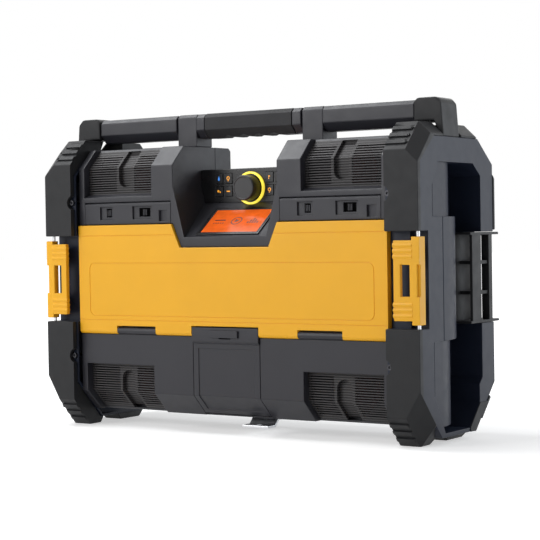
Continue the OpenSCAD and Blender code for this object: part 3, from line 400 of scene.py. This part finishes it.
def fine_grille(name, colour, pitch_mm, slot_mm):
    """Moulded mesh: level ribs and grooves, one at the height slot_mm and one at each pitch, with
    painted shade: the grooves are darker colour.
    """
    material, tree, shader, coords = new_material(name)
    ribs = tree.nodes.new("ShaderNodeTexWave")
    ribs.wave_type, ribs.bands_direction = "BANDS", "Z"
    ribs.inputs["Scale"].default_value = WAVE_PERIOD / (pitch_mm * MM)
    ribs.inputs["Phase Offset"].default_value = -2 * math.pi * (slot_mm % pitch_mm) / pitch_mm
    tree.links.new(coords, ribs.inputs["Vector"])
    height = ribs.outputs["Fac"]
    # painted shade: the grooves are coloured at 0.15 of the ribs' colour, for the dark inside the slots
    tree.links.new(tinted(tree, height, scaled(colour, 0.15), colour), shader.inputs["Base Color"])
    tree.links.new(raised(tree, height, 0.35), shader.inputs["Normal"])
    shader.inputs["Roughness"].default_value = 0.5
    shader.inputs["Specular IOR Level"].default_value = 0.25
    return material


def lit(name, colour, strength, gloss=0.25):
    """A surface lit from behind, slightly uneven in brightness."""
    material, tree, shader, coords = new_material(name)
    cloudy = noise(tree, coords, 1 / (9 * MM), 2)
    tone = tinted(tree, cloudy, scaled(colour, 0.86), scaled(colour, 1.06))
    tree.links.new(tone, shader.inputs["Base Color"])
    tree.links.new(tone, shader.inputs["Emission Color"])
    shader.inputs["Emission Strength"].default_value = strength
    shader.inputs["Roughness"].default_value = gloss
    return material


# %% Every finish of the radio
GRILLE_COLOUR = (0.062, 0.058, 0.060)
SLOT_PITCH, SLOT_START = 3.0, 6.65  # the lowest slot's middle is SLOT_START above its grille's edge
LOWEST_SLOT_IN = {"grille_plastic": "upper_right_grille", "lower_grille_plastic": "lower_right_grille"}


def first_slot(grille):
    """The height of a grille's lowest slot, in millimetres."""
    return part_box(grille)[0].z / MM + SLOT_START


def plastics(rows):
    """Several plastics by name, each row with what plastic() takes after the name."""
    return {name: plastic(name, *given) for name, given in rows.items()}


finishes = plastics({  # colour, gloss, grain size and depth in millimetres, drift, specular
    "charcoal_plastic": ((0.0245, 0.0245, 0.0305), (0.36, 0.46), 0.5, 0.02, 0.06, 0.32),
    "slate_plastic": ((0.0125, 0.0165, 0.0305), (0.34, 0.44), 0.4, 0.012, 0.06, 0.22),
    "bumper_plastic": ((0.0125, 0.0128, 0.0142), (0.46, 0.58), 0.7, 0.035, 0.06, 0.25),
    "yellow_plastic": ((0.91, 0.455, 0.014), (0.36, 0.46), 0.45, 0.012, 0.025),
    "inner_plastic": ((0.012, 0.012, 0.013), (0.5, 0.62)),
    "panel_plastic": ((0.006, 0.006, 0.0075), (0.26, 0.36), 0.4, 0.006),
    # painted shade: near-black, nearly unreflecting colour that stands for the dark inside the latch
    # wells
    "shade": ((0.0016, 0.0016, 0.0018), (0.85, 0.95), 0.5, 0.02, 0.06, 0.05),
    "knob_plastic": ((0.022, 0.022, 0.024), (0.34, 0.44), 0.4, 0.01),
    "display_ink": ((0.16, 0.022, 0.006), (0.3, 0.4)),
})
# the grilles' grooves carry painted shade as well as a bump
for name, grille in LOWEST_SLOT_IN.items():
    finishes[name] = fine_grille(name, GRILLE_COLOUR, SLOT_PITCH, first_slot(grille))
finishes.update({
    "grip_rubber": rubber("grip_rubber", (0.018, 0.018, 0.020)),
    "seal_rubber": rubber("seal_rubber", (0.012, 0.012, 0.013)),
    "ring_light": lit("ring_light", (1.0, 0.78, 0.07), 0.9),
    "display_amber": lit("display_amber", (0.72, 0.11, 0.012), 0.4, 0.12),
    "icon_amber": lit("icon_amber", (0.95, 0.38, 0.03), 0.55),
    "icon_blue": lit("icon_blue", (0.06, 0.25, 0.75), 0.6),
    "steel": plated_steel("steel", (0.62, 0.63, 0.65)),
    "black_steel": plated_steel("black_steel", (0.05, 0.05, 0.055)),
    "speaker_cone": pressed_paper("speaker_cone", (0.055, 0.018, 0.018)),
    "board_green": solder_mask("board_green", (0.012, 0.085, 0.03)),
})
for node, piece in nodes.items():
    piece.data.materials.clear()
    piece.data.materials.append(finishes[slot_of[node]])
nodes["speaker_baskets"].data.materials[0] = finishes["black_steel"]
finish_of = {node: "lower_grille_plastic" for node in ("lower_left_grille", "lower_right_grille")}
print("finishes:", len(finishes))

# %% [markdown]
# ## The pillars of the end frames
#
# The deep recess in each end frame has a front pillar, which rolls over into the dark, so
# its edge is a soft one. Sculpting could give that form, but the pillar is the same along
# its height, so it is easier to draw in plan, as seen from above: a pad just under the
# frame's face, then a wide arc and a tight one down to the recess's floor, and back inside
# the wall. Extruded upwards, the plan becomes a solid. Above and below the latch the pad is
# sunk, with a groove at the recess's lip, and beside the latch it is wider and level with
# the face. A Boolean modifier joins each solid to a copy of the frame.

# %% A pillar in plan
FACE_X = 269  # the outer face of the right end frame
ROLLS = ((75, range(0, 41, 8)), (10, range(40, 83, 14)))  # each arc's radius, and its turns in degrees
FOOT = ((236, 0.4), (226.9, 0.6))  # down to the floor: x, and y behind the rolls
SCOOP_X, SCOOP_Y, SCOOP_RADIUS = 285.4, 90.0, 58.5  # the way back, an arc inside the wall
SCOOP_TURNS = (0, 15, 30, 45, 60, 68)


def pillar_plan(pad):
    """A pillar's outline in plan. The pad's points are (depth under the face, y)."""
    plan = [(FACE_X - depth, y) for depth, y in pad]
    for radius, turns in ROLLS:
        (x, y), first = plan[-1], math.radians(turns[0])
        for turn in [math.radians(t) for t in turns[1:]]:
            inwards = radius * (math.cos(first) - math.cos(turn))
            plan.append((x - inwards, y + radius * (math.sin(turn) - math.sin(first))))
    back = plan[-1][1]
    plan += [(x, back + behind) for x, behind in FOOT]
    for turn in [math.radians(t) for t in SCOOP_TURNS]:
        x, y = SCOOP_X - SCOOP_RADIUS * math.cos(turn), SCOOP_Y - SCOOP_RADIUS * math.sin(turn)
        plan.append((x, y))
    return plan


SUNK_PAD = ((2.8, 34.0), (2.8, 37.0), (1.2, 37.8), (1.5, 46.0), (1.9, 58.0))
LEVEL_PAD = ((0, 34.0), (0, 58.6), (2.0, 59.0), (2.0, 60.0), (0.5, 60.4), (0.7, 72.0))
for pad in (SUNK_PAD, LEVEL_PAD):
    print("a pillar reaches back, mm:", round(max(y for _, y in pillar_plan(pad)) - pad[0][1]))


# %% Solids from outlines, and joining them
def extruded(bm, outline, along):
    """Add a closed form: the flat outline through those points, drawn out along a vector."""
    base = bm.faces.new([bm.verts.new(point) for point in outline])
    drawn = bmesh.ops.extrude_face_region(bm, geom=[base])["geom"]
    bmesh.ops.translate(bm, verts=[v for v in drawn if isinstance(v, bmesh.types.BMVert)], vec=along)
    bmesh.ops.recalc_face_normals(bm, faces=bm.faces)


def prism(plan, low, high, side):
    """A mesh with that plan between two heights. side is 1 for the right and -1 for the left."""
    bm = bmesh.new()
    extruded(bm, [at(side * x, y, low) for x, y in plan], Vector((0, 0, (high - low) * MM)))
    mesh = bpy.data.meshes.new("prism")
    bm.to_mesh(mesh)
    bm.free()
    return mesh


def union(mesh, guest):
    """A new mesh of both forms joined. The two meshes are used up."""
    pair = [bpy.data.objects.new("joining", data) for data in (mesh, guest)]
    for holder in pair:
        bpy.context.scene.collection.objects.link(holder)
    join = pair[0].modifiers.new("join", "BOOLEAN")
    join.operation, join.solver, join.object = "UNION", "EXACT", pair[1]
    depsgraph = bpy.context.evaluated_depsgraph_get()
    depsgraph.update()
    whole = bpy.data.meshes.new_from_object(pair[0].evaluated_get(depsgraph))
    for data in (mesh, guest):
        bpy.data.meshes.remove(data)
    return whole


# %% Join the pillars to their frames
PILLARS = ((SUNK_PAD, 20, 124), (SUNK_PAD, 250, 319.5), (LEVEL_PAD, 117, 257))  # pad, low and high end
joined = {}
for node, side in (("right_end_frame", 1), ("left_end_frame", -1)):
    whole = nodes[node].data.copy()
    for pad, low, high in PILLARS:
        whole = union(whole, prism(pillar_plan(pad), low, high, side))
    joined[node] = whole
    print(node, "with its pillars:", len(whole.polygons), "faces")

# %% [markdown]
# ## Rounded edges
#
# A solid from a construction program has edges of no radius at all, and they look false,
# because a real edge always catches a thin line of light. So each visible part gets a copy
# of itself with eased edges. The copy is first cleaned: doubled points are merged and flat
# areas become single faces. Then each outward edge is given its own share of the radius, as
# much as the flat areas beside it have room for, and a Bevel modifier rounds them all at
# once. One fixed radius would be simpler, but it folds over itself wherever a rib is thin.
#
# The bevel moves the rim of every flat area inwards, and thin triangles inside the area can
# fold over as it does. So each area is emptied and filled afresh from its rim. Where a fold
# is still left, the edges near it get half their radius, and the work is done again.

# %% Flat areas and their rims
MERGE = 0.01 * MM  # points closer than this are one point
ONE_PLANE = math.cos(math.radians(0.6))  # faces that turn less than this are in one plane


def flat_areas(bm):
    """Groups of faces that lie in one plane and join along edges."""
    taken = set()
    areas = []
    for seed in bm.faces:
        if seed in taken:
            continue
        taken.add(seed)
        area, corner, normal = [seed], seed.verts[0].co, seed.normal
        for face in area:
            for other in [f for edge in face.edges for f in edge.link_faces]:
                if other not in taken and abs(other.normal.dot(normal)) > ONE_PLANE:
                    if all(abs((v.co - corner).dot(normal)) < MERGE for v in other.verts):
                        taken.add(other)
                        area.append(other)
        areas.append(area)
    return areas


def rim_of(area):
    """The loops of an area's faces that run along its rim."""
    inside = set(area)
    return [loop for face in area for loop in face.loops
            if sum(other.face in inside for other in loop.edge.link_loops) == 1]


# %% Fill flat areas afresh
SAME_AREA = 0.05 * MM * MM  # the most that two areas may differ and still be the same
FOLDED = math.radians(138)  # a surface that turns more than this has folded back on itself


def refill(bm):
    """Empty each flat area and fill it afresh from its rim, where that covers the same area."""
    bm.normal_update()
    for area in flat_areas(bm):
        if not all(face.is_valid for face in area):
            continue
        rim = rim_of(area)
        if not rim or (len(area) == 1 and len(area[0].verts) < 5):
            continue
        base = rim[0].vert.co.copy()
        spokes = [(loop.vert.co - base, loop.link_loop_next.vert.co - base) for loop in rim]
        facing = sum((first.cross(second) for first, second in spokes), Vector())
        before = [[loop.vert for loop in face.loops] for face in area]
        edges = [loop.edge for loop in rim]
        bmesh.ops.delete(bm, geom=area, context="FACES_ONLY")
        made = bmesh.ops.triangle_fill(bm, use_beauty=True, edges=edges, normal=facing.normalized())
        filled = [face for face in made["geom"] if isinstance(face, bmesh.types.BMFace)]
        for face in filled:
            face.normal_update()
            if face.normal.dot(facing) < 0:
                face.normal_flip()
        if abs(sum(face.calc_area() for face in filled) - facing.length / 2) > SAME_AREA:
            bmesh.ops.delete(bm, geom=filled, context="FACES_ONLY")
            for corners in before:
                bm.faces.new(corners)
    bmesh.ops.delete(bm, geom=[e for e in bm.edges if not e.link_faces], context="EDGES")
    bm.normal_update()


def folds_in(bm):
    """Where the surface folds back on itself: the edges' middle points, and how much folds."""
    folds = {}
    for edge in bm.edges:
        if len(edge.link_faces) == 2 and edge.calc_face_angle(0) > FOLDED:
            size = min(face.calc_area() for face in edge.link_faces)
            if size > SAME_AREA:
                folds[((edge.verts[0].co + edge.verts[1].co) / 2).freeze()] = size
    return folds


# %% How much rounding an edge has room for
ROOM = 0.4  # the share of a gap that the rounding of one edge may take
FACING = 0.7  # how squarely a corner has to face an edge to be in its way
FREE = 1.0  # a gap in metres that sets no limit
STRAIGHT, LEAST_SLANT = 3.1, 0.002  # the widest angle in radians and the least sine that count


def limit_across(rim, room):
    """Limit rim edges by the distance over the area to the rim's other corners and edges."""
    start = np.array([loop.vert.co for loop in rim])
    along = np.array([loop.link_loop_next.vert.co for loop in rim]) - start
    length = np.linalg.norm(along, axis=1)
    along /= length[:, None]
    inward = np.cross(rim[0].face.normal, along)
    apart = start[None] - start[:, None]
    beside = (apart * along[:, None]).sum(-1)
    above = (apart * inward[:, None]).sum(-1)
    past = np.maximum(np.maximum(-beside, beside - length[:, None]), 0)
    distance = np.hypot(above, past)
    distance[(above < MERGE) | (above < FACING * distance)] = FREE
    nearest_corner = distance.min(axis=1)
    nearest_edge = distance.min(axis=0)
    reach = {loop.vert: gap for loop, gap in zip(rim, nearest_edge)}
    for loop, gap in zip(rim, nearest_corner):
        if loop.edge in room:
            gap = min(gap, reach[loop.vert], reach.get(loop.link_loop_next.vert, FREE))
            room[loop.edge] = min(room[loop.edge], gap * ROOM)


def limit_at_corners(rim, room):
    """Limit rim edges by the length and the slant of the edges they meet at the rim's corners."""
    meeting = {}
    for loop in rim:
        for corner in loop.edge.verts:
            meeting.setdefault(corner, []).append(loop.edge)
    for corner, edges in meeting.items():
        for edge in [e for e in edges if e in room]:
            along = edge.other_vert(corner).co - corner.co
            for other in [e for e in edges if e is not edge]:
                away = other.other_vert(corner).co - corner.co
                angle = along.angle(away, math.pi / 2)
                if other in room:
                    limit = min(along.length, away.length) * math.tan(min(angle, STRAIGHT) / 2)
                else:
                    limit = away.length * max(math.sin(angle), LEAST_SLANT)
                room[edge] = min(room[edge], limit * ROOM)


# %% Bevel, and ease off where it folds
NEAR = 2.5  # how far from a fold, in radii, an edge is eased off


def bevelled(bm, holder):
    """The mesh that the holder's modifiers make of bm, with its flat areas filled afresh."""
    bm.to_mesh(holder.data)
    depsgraph = bpy.context.evaluated_depsgraph_get()
    depsgraph.update()
    mesh = bpy.data.meshes.new_from_object(holder.evaluated_get(depsgraph))
    made = bmesh.new()
    made.from_mesh(mesh)
    bpy.data.meshes.remove(mesh)
    bmesh.ops.remove_doubles(made, verts=made.verts, dist=MERGE / 10)
    refill(made)
    return made


def ease_off(bm, weight, folds, reach):
    """Halve the rounding of the edges near each fold."""
    for edge in [e for e in bm.edges if e[weight] > 0]:
        start, end = (v.co for v in edge.verts)
        for fold in folds:
            share = intersect_point_line(fold, start, end)[1]
            if (start.lerp(end, min(1, max(0, share))) - fold).length < reach:
                edge[weight] *= 0.5
                break


# %% Round the edges of a mesh
FLAT = math.radians(1.0)  # edges that turn less than this are dissolved
SHARP = math.radians(24)  # edges that turn more than this are rounded
TRIES = 4  # how often the edges near the folds are eased off


def rounded(mesh, radius, segments=2):
    """A bmesh like the given mesh, with its outward edges rounded. radius is in metres."""
    bm = bmesh.new()
    bm.from_mesh(mesh)
    bmesh.ops.remove_doubles(bm, verts=bm.verts, dist=MERGE)
    bmesh.ops.dissolve_limit(bm, angle_limit=FLAT, verts=bm.verts, edges=bm.edges, delimit={"NORMAL"})
    bm.normal_update()
    weight = bm.edges.layers.float.new("bevel_weight_edge")
    room = {e: radius for e in bm.edges if e.is_convex and e.calc_face_angle(0) > SHARP}
    for area in flat_areas(bm):
        rim = rim_of(area)
        limit_across(rim, room)
        limit_at_corners(rim, room)
    for edge, width in room.items():
        edge[weight] = width / radius
    bmesh.ops.triangulate(bm, faces=[f for f in bm.faces if len(f.verts) > 4])
    holder = bpy.data.objects.new("sharp", bpy.data.meshes.new("sharp"))
    bpy.context.scene.collection.objects.link(holder)
    bevel = holder.modifiers.new("rounded", "BEVEL")
    bevel.limit_method = "WEIGHT"
    bevel.width = radius
    bevel.segments = segments
    bevel.profile = 0.5
    bevel.use_clamp_overlap = False
    bevel.miter_outer = "MITER_SHARP"
    bevel.loop_slide = False
    best = bevelled(bm, holder)
    for _ in range(TRIES):
        least = folds_in(best)
        if not least:
            break
        ease_off(bm, weight, least, NEAR * radius)
        made = bevelled(bm, holder)
        if sum(folds_in(made).values()) < sum(least.values()):
            best, made = made, best
        made.free()
    bpy.data.meshes.remove(holder.data)
    bm.free()
    return best


# %% Ease the edges of a part
CREASE = math.radians(40)  # edges that turn more than this stay crisp


def dressed(name, bm, slot, body, finish=None):
    """Make a piece of the radio from a bmesh, in a material slot and on a body. Frees the bmesh."""
    for face in bm.faces:
        face.smooth = True
    for edge in bm.edges:
        edge.smooth = edge.calc_face_angle(0) < CREASE
    mesh = bpy.data.meshes.new(name)
    bm.to_mesh(mesh)
    bm.free()
    mesh.materials.append(finishes[finish or slot])
    piece = bpy.data.objects.new(name, mesh)
    bpy.context.scene.collection.objects.link(piece)
    normals = piece.modifiers.new("even_shading", "WEIGHTED_NORMAL")
    normals.keep_sharp = True
    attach(piece, body)
    return piece


def eased(node, radius):
    """A copy of a part with eased edges. radius is in millimetres. It takes the part's place."""
    form = rounded(joined.get(node, nodes[node].data), radius * MM)
    piece = dressed(node + "_form", form, slot_of[node], body_of[node], finish_of.get(node))
    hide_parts(node)
    return piece


# %% How round each part's edges are, in millimetres
EDGE_RADIUS = {
    "front_housing": 1.2, "rear_cover": 0.9, "left_end_frame": 0.8, "right_end_frame": 0.8,
    "left_catch": 0.6, "right_catch": 0.6,
    "front_upper_left_guard": 1.1, "front_upper_right_guard": 1.1,
    "front_lower_left_guard": 1.1, "front_lower_right_guard": 1.1,
    "rear_upper_left_guard": 1.1, "rear_upper_right_guard": 1.1,
    "rear_lower_left_guard": 1.1, "rear_lower_right_guard": 1.1,
    "guard_screws": 0.3, "case_screws": 0.3,
    "upper_left_grille": 0.35, "upper_right_grille": 0.35,
    "lower_left_grille": 0.35, "lower_right_grille": 0.35,
    "handle_bar": 1.2, "handle_grip": 0.6, "handle_posts": 1.4,
    "left_handle_cap": 3.0, "right_handle_cap": 3.0,
    "storage_door": 0.9, "left_door_latch": 0.7, "right_door_latch": 0.7,
    "battery_door": 0.8, "battery_catch": 0.4, "battery_bay": 0.5,
    "left_side_latch": 0.8, "right_side_latch": 0.8, "side_latch_pins": 0.4,
    "control_panel": 0.4, "light_ring": 0.5, "tuning_knob": 0.25,
    "display_bezel": 0.5, "display_lens": 0.3, "storage_tray": 0.5, "port_panel": 0.5,
    "power_inlet": 0.5, "base_bracket": 0.5,
}
for node in nodes:
    if node.endswith("_button"):
        EDGE_RADIUS[node] = 0.3
forms = {node: eased(node, radius) for node, radius in EDGE_RADIUS.items()}
print("eased:", len(forms), "parts")

# %% [markdown]
# ## Small forms
#
# The trim below is made of three simple forms: a slab with an outline, a ring, and a block
# with softened edges. An outline is drawn on a flat place, which is a point on the radio
# and the directions across, up and out from it. The same slab can then lie on the upright
# control panel or on the sloping display.

# %% Slabs, rings and blocks
class Place:
    """A flat place on the radio: a middle point, and the directions across, up and out."""

    def __init__(self, middle, across=Vector((1, 0, 0)), up=Vector((0, 0, 1))):
        self.middle, self.across, self.up = middle, across, up
        self.out = across.cross(up)

    def point(self, u, v, w=0.0):
        """The point u across, v up and w out from the middle, in millimetres."""
        return self.middle + (self.across * u + self.up * v + self.out * w) * MM


def slab(bm, place, outline, low, high):
    """Add a slab with that outline, from low to high above the place."""
    extruded(bm, [place.point(u, v, low) for u, v in outline], place.out * (high - low) * MM)


def round_outline(u, v, radius, steps=24):
    """A circle round (u, v), as an outline."""
    turns = [2 * math.pi * i / steps for i in range(steps)]
    return [(u + radius * math.cos(t), v + radius * math.sin(t)) for t in turns]


def box_outline(u, v, width, height):
    """A box with its middle at (u, v), as an outline."""
    return [(u - width / 2, v - height / 2), (u + width / 2, v - height / 2),
            (u + width / 2, v + height / 2), (u - width / 2, v + height / 2)]


def ring(bm, place, outer, inner, low, high):
    """Add a flat ring between two outlines of as many points."""
    edges = []
    for outline in (outer, inner):
        corners = [bm.verts.new(place.point(u, v, low)) for u, v in outline]
        edges += [bm.edges.new((corners[i - 1], corners[i])) for i in range(len(corners))]
    base = bmesh.ops.bridge_loops(bm, edges=edges)["faces"]
    drawn = bmesh.ops.extrude_face_region(bm, geom=base)["geom"]
    lifted = [v for v in drawn if isinstance(v, bmesh.types.BMVert)]
    bmesh.ops.translate(bm, verts=lifted, vec=place.out * (high - low) * MM)
    bmesh.ops.recalc_face_normals(bm, faces=bm.faces)


def block(bm, low, high, soft=0.2):
    """Add a block between two corners, with edges softened by that many millimetres."""
    low, high = at(*low), at(*high)
    made = bmesh.ops.create_cube(bm, size=1)["verts"]
    for corner in made:
        corner.co = Vector(low[i] + (corner.co[i] + 0.5) * (high[i] - low[i]) for i in range(3))
    edges = [edge for edge in bm.edges if edge.verts[0] in made]
    bmesh.ops.bevel(bm, geom=edges, offset=soft * MM, offset_type="OFFSET", affect="EDGES",
                    segments=2, profile=0.5, material=-1)


# %% [markdown]
# ## Marks on the buttons
#
# Each of the eight buttons carries a small plain mark, lit from behind: a drop, a ring, a
# bar or a pair of dots. They stand a tenth of a millimetre proud of the button, so the
# light catches their rims, and they ride on the button, so they go in with it.

# %% Button marks
MARK = (-0.1, 0.1)  # a mark's lower and upper side, from the button's face
DROP = ((0, 3.2), (-1.3, 0.6), (-1.3, -1.6), (0, -2.6), (1.3, -1.6), (1.3, 0.6))
FLAG = ((-1.2, -2.4), (-0.4, -2.4), (-0.4, 0.1), (1.6, 1.3), (-1.2, 2.5))


def drop_mark(bm, place):
    slab(bm, place, DROP, *MARK)


def ring_mark(bm, place):
    ring(bm, place, round_outline(0, 0.6, 2.3), round_outline(0, 0.6, 1.3), *MARK)
    slab(bm, place, box_outline(0, -2.6, 1.6, 0.9), *MARK)


def bar_mark(bm, place):
    slab(bm, place, box_outline(0, 0, 5.0, 1.5), *MARK)


def dots_mark(bm, place):
    slab(bm, place, round_outline(-1.1, 0.5, 1.5), *MARK)
    slab(bm, place, round_outline(1.7, -0.7, 1.0), *MARK)


def flag_mark(bm, place):
    slab(bm, place, FLAG, *MARK)


marks = {
    "outer_top": (drop_mark, "icon_blue"), "outer_low": (dots_mark, "icon_amber"),
    "inner_top": (ring_mark, "icon_amber"), "inner_low": (bar_mark, "icon_amber"),
    "near_top": (flag_mark, "icon_amber"), "near_low": (ring_mark, "icon_amber"),
    "far_top": (bar_mark, "icon_amber"), "far_low": (flag_mark, "icon_amber"),
}
for spot, (draw, finish) in marks.items():
    button = spot + "_button"
    low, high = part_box(button)
    bm = bmesh.new()
    draw(bm, Place(Vector(((low.x + high.x) / 2, low.y, (low.z + high.z) / 2))))
    dressed(spot + "_mark", bm, slot_of[button], body_of[button], finish)
print("button marks:", len(marks))

# %% [markdown]
# ## What the display shows
#
# The display is lit amber with a darker picture on it: an arrowhead in a ring, with a bar
# and a row of dots on one side and a level meter on the other. The display slopes, so its
# place is read from the lens itself, from its largest face.

# %% Display picture
def upward_face(node):
    """The middle and the direction of a part's largest flat face of those that face up."""
    faces = [f for f in nodes[node].data.polygons if f.normal.z > 0.5]
    main = max(faces, key=lambda f: f.area)
    whole = [f for f in faces if f.normal.dot(main.normal) > ONE_PLANE]
    middle = sum((f.center * f.area for f in whole), Vector()) / sum(f.area for f in whole)
    return middle, main.normal.copy()


middle, facing = upward_face("display_lens")
lens = Place(middle, up=facing.cross(Vector((1, 0, 0))))
INK = (-0.1, 0.08)  # the picture's lower and upper side, from the lens's face
ARROW = ((-2.2, -3.4), (3.9, 0), (-2.2, 3.4))
METER = (3.0, 6.5, 9.5, 7.0, 4.0)
BAR_WIDE, BAR_PITCH = 2.0, 3.4
bm = bmesh.new()
ring(bm, lens, round_outline(0, 0, 7.6, 48), round_outline(0, 0, 6.2, 48), *INK)
slab(bm, lens, ARROW, *INK)
for i, height in enumerate(METER):
    slab(bm, lens, box_outline(18 + BAR_PITCH * i, height / 2 - 5, BAR_WIDE, height), *INK)
    slab(bm, lens, box_outline(-31.6 + BAR_PITCH * i, -4.2, BAR_WIDE, 1.6), *INK)
slab(bm, lens, box_outline(-24.8, 1.6, 15.6, 2.2), *INK)
dressed("display_picture", bm, slot_of["display_lens"], body_of["display_lens"], "display_ink")
print("display faces", [round(c, 2) for c in lens.out], "at", [round(c / MM) for c in middle])

# %% [markdown]
# ## Latch hooks
#
# Each door latch has two windows, and in each window a small hook with three upright ribs
# stands before a well. A true hole would show the plain inside of the latch, so the well's
# shade is painted: a near-black, nearly unreflecting plate stands where there is only shade.
# All of it sits inside the latch, clear of the housing behind it.

# %% Latch hooks
LATCH_X = {"left_door_latch": -215, "right_door_latch": 80}  # each latch's left edge
WINDOWS = ((33, 41), (85, 102))  # where each window starts and ends, from that edge
WELL_Y, WELL_Z, WELL_REACH = (19.2, 19.9), (262.4, 275.6), 0.3
HOOK_X, HOOK_Y, HOOK_Z = (34.4, 91.0), (16.4, 19.4), (265.4, 273.0)
HOOK_RIB, HOOK_GAP = 1.3, 0.9
for node, left in LATCH_X.items():
    well_shades, hooks = bmesh.new(), bmesh.new()
    for start, end in WINDOWS:
        low = (left + start - WELL_REACH, WELL_Y[0], WELL_Z[0])
        high = (left + end + WELL_REACH, WELL_Y[1], WELL_Z[1])
        block(well_shades, low, high, 0.1)
    for start in HOOK_X:
        for i in range(3):
            x = left + start + i * (HOOK_RIB + HOOK_GAP)
            block(hooks, (x, HOOK_Y[0], HOOK_Z[0]), (x + HOOK_RIB, HOOK_Y[1], HOOK_Z[1]), 0.3)
    # the well plates carry painted shade, the finish 'shade', where each window would be dark
    dressed(node + "_well_shade", well_shades, slot_of[node], body_of[node], "shade")
    dressed(node + "_hooks", hooks, slot_of[node], body_of[node])
print("latch hooks:", 2 * len(LATCH_X))

# %% [markdown]
# ## Ribs on the back, and the ends of the grille channels
#
# The back is a plain wall, stiffened by level ribs. Each upper grille has a moulded channel
# that ends just under the top, and a small stop behind it closes that end, so no light
# comes through from the other side.

# %% Back ribs and channel stops
BACK_Y, SEATED = 176, 0.5
RIBS, RIB_HALF, RIB_WIDE, RIB_PROUD = 6, 186, 6, 1.6
RIB_LOWEST, RIB_PITCH = 148, 24
bm = bmesh.new()
for i in range(RIBS):
    z = RIB_LOWEST + RIB_PITCH * i
    block(bm, (-RIB_HALF, BACK_Y - SEATED, z), (RIB_HALF, BACK_Y + RIB_PROUD, z + RIB_WIDE), 0.8)
dressed("back_ribs", bm, slot_of["rear_cover"], body_of["rear_cover"])

CHANNEL_X, STOP_HALF, STOP_Y, STOP_Z = 158, 11, (49.2, 56), (342.0, 346.9)
for side, node in ((1, "upper_right_grille"), (-1, "upper_left_grille")):
    bm = bmesh.new()
    middle = side * CHANNEL_X
    low, high = ((middle + way * STOP_HALF, STOP_Y[i], STOP_Z[i]) for i, way in enumerate((-1, 1)))
    block(bm, low, high, 0.3)
    dressed(node + "_stop", bm, slot_of[node], body_of[node])
print("back ribs:", RIBS, "and channel stops: 2")

# %% [markdown]
# ## Sizes
#
# The dressed radio has to be as large as the construction says. The last lines print how far
# each corner of its box has moved from the construction's box, in millimetres.

# %% Compare the boxes, and finish
made_box = [list(corner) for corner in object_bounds()]
for corner, cad, made in zip(("low", "high"), cad_box, made_box):
    print(corner, "corner moved by, mm:", [round((b - a) / MM, 2) for a, b in zip(cad, made)])
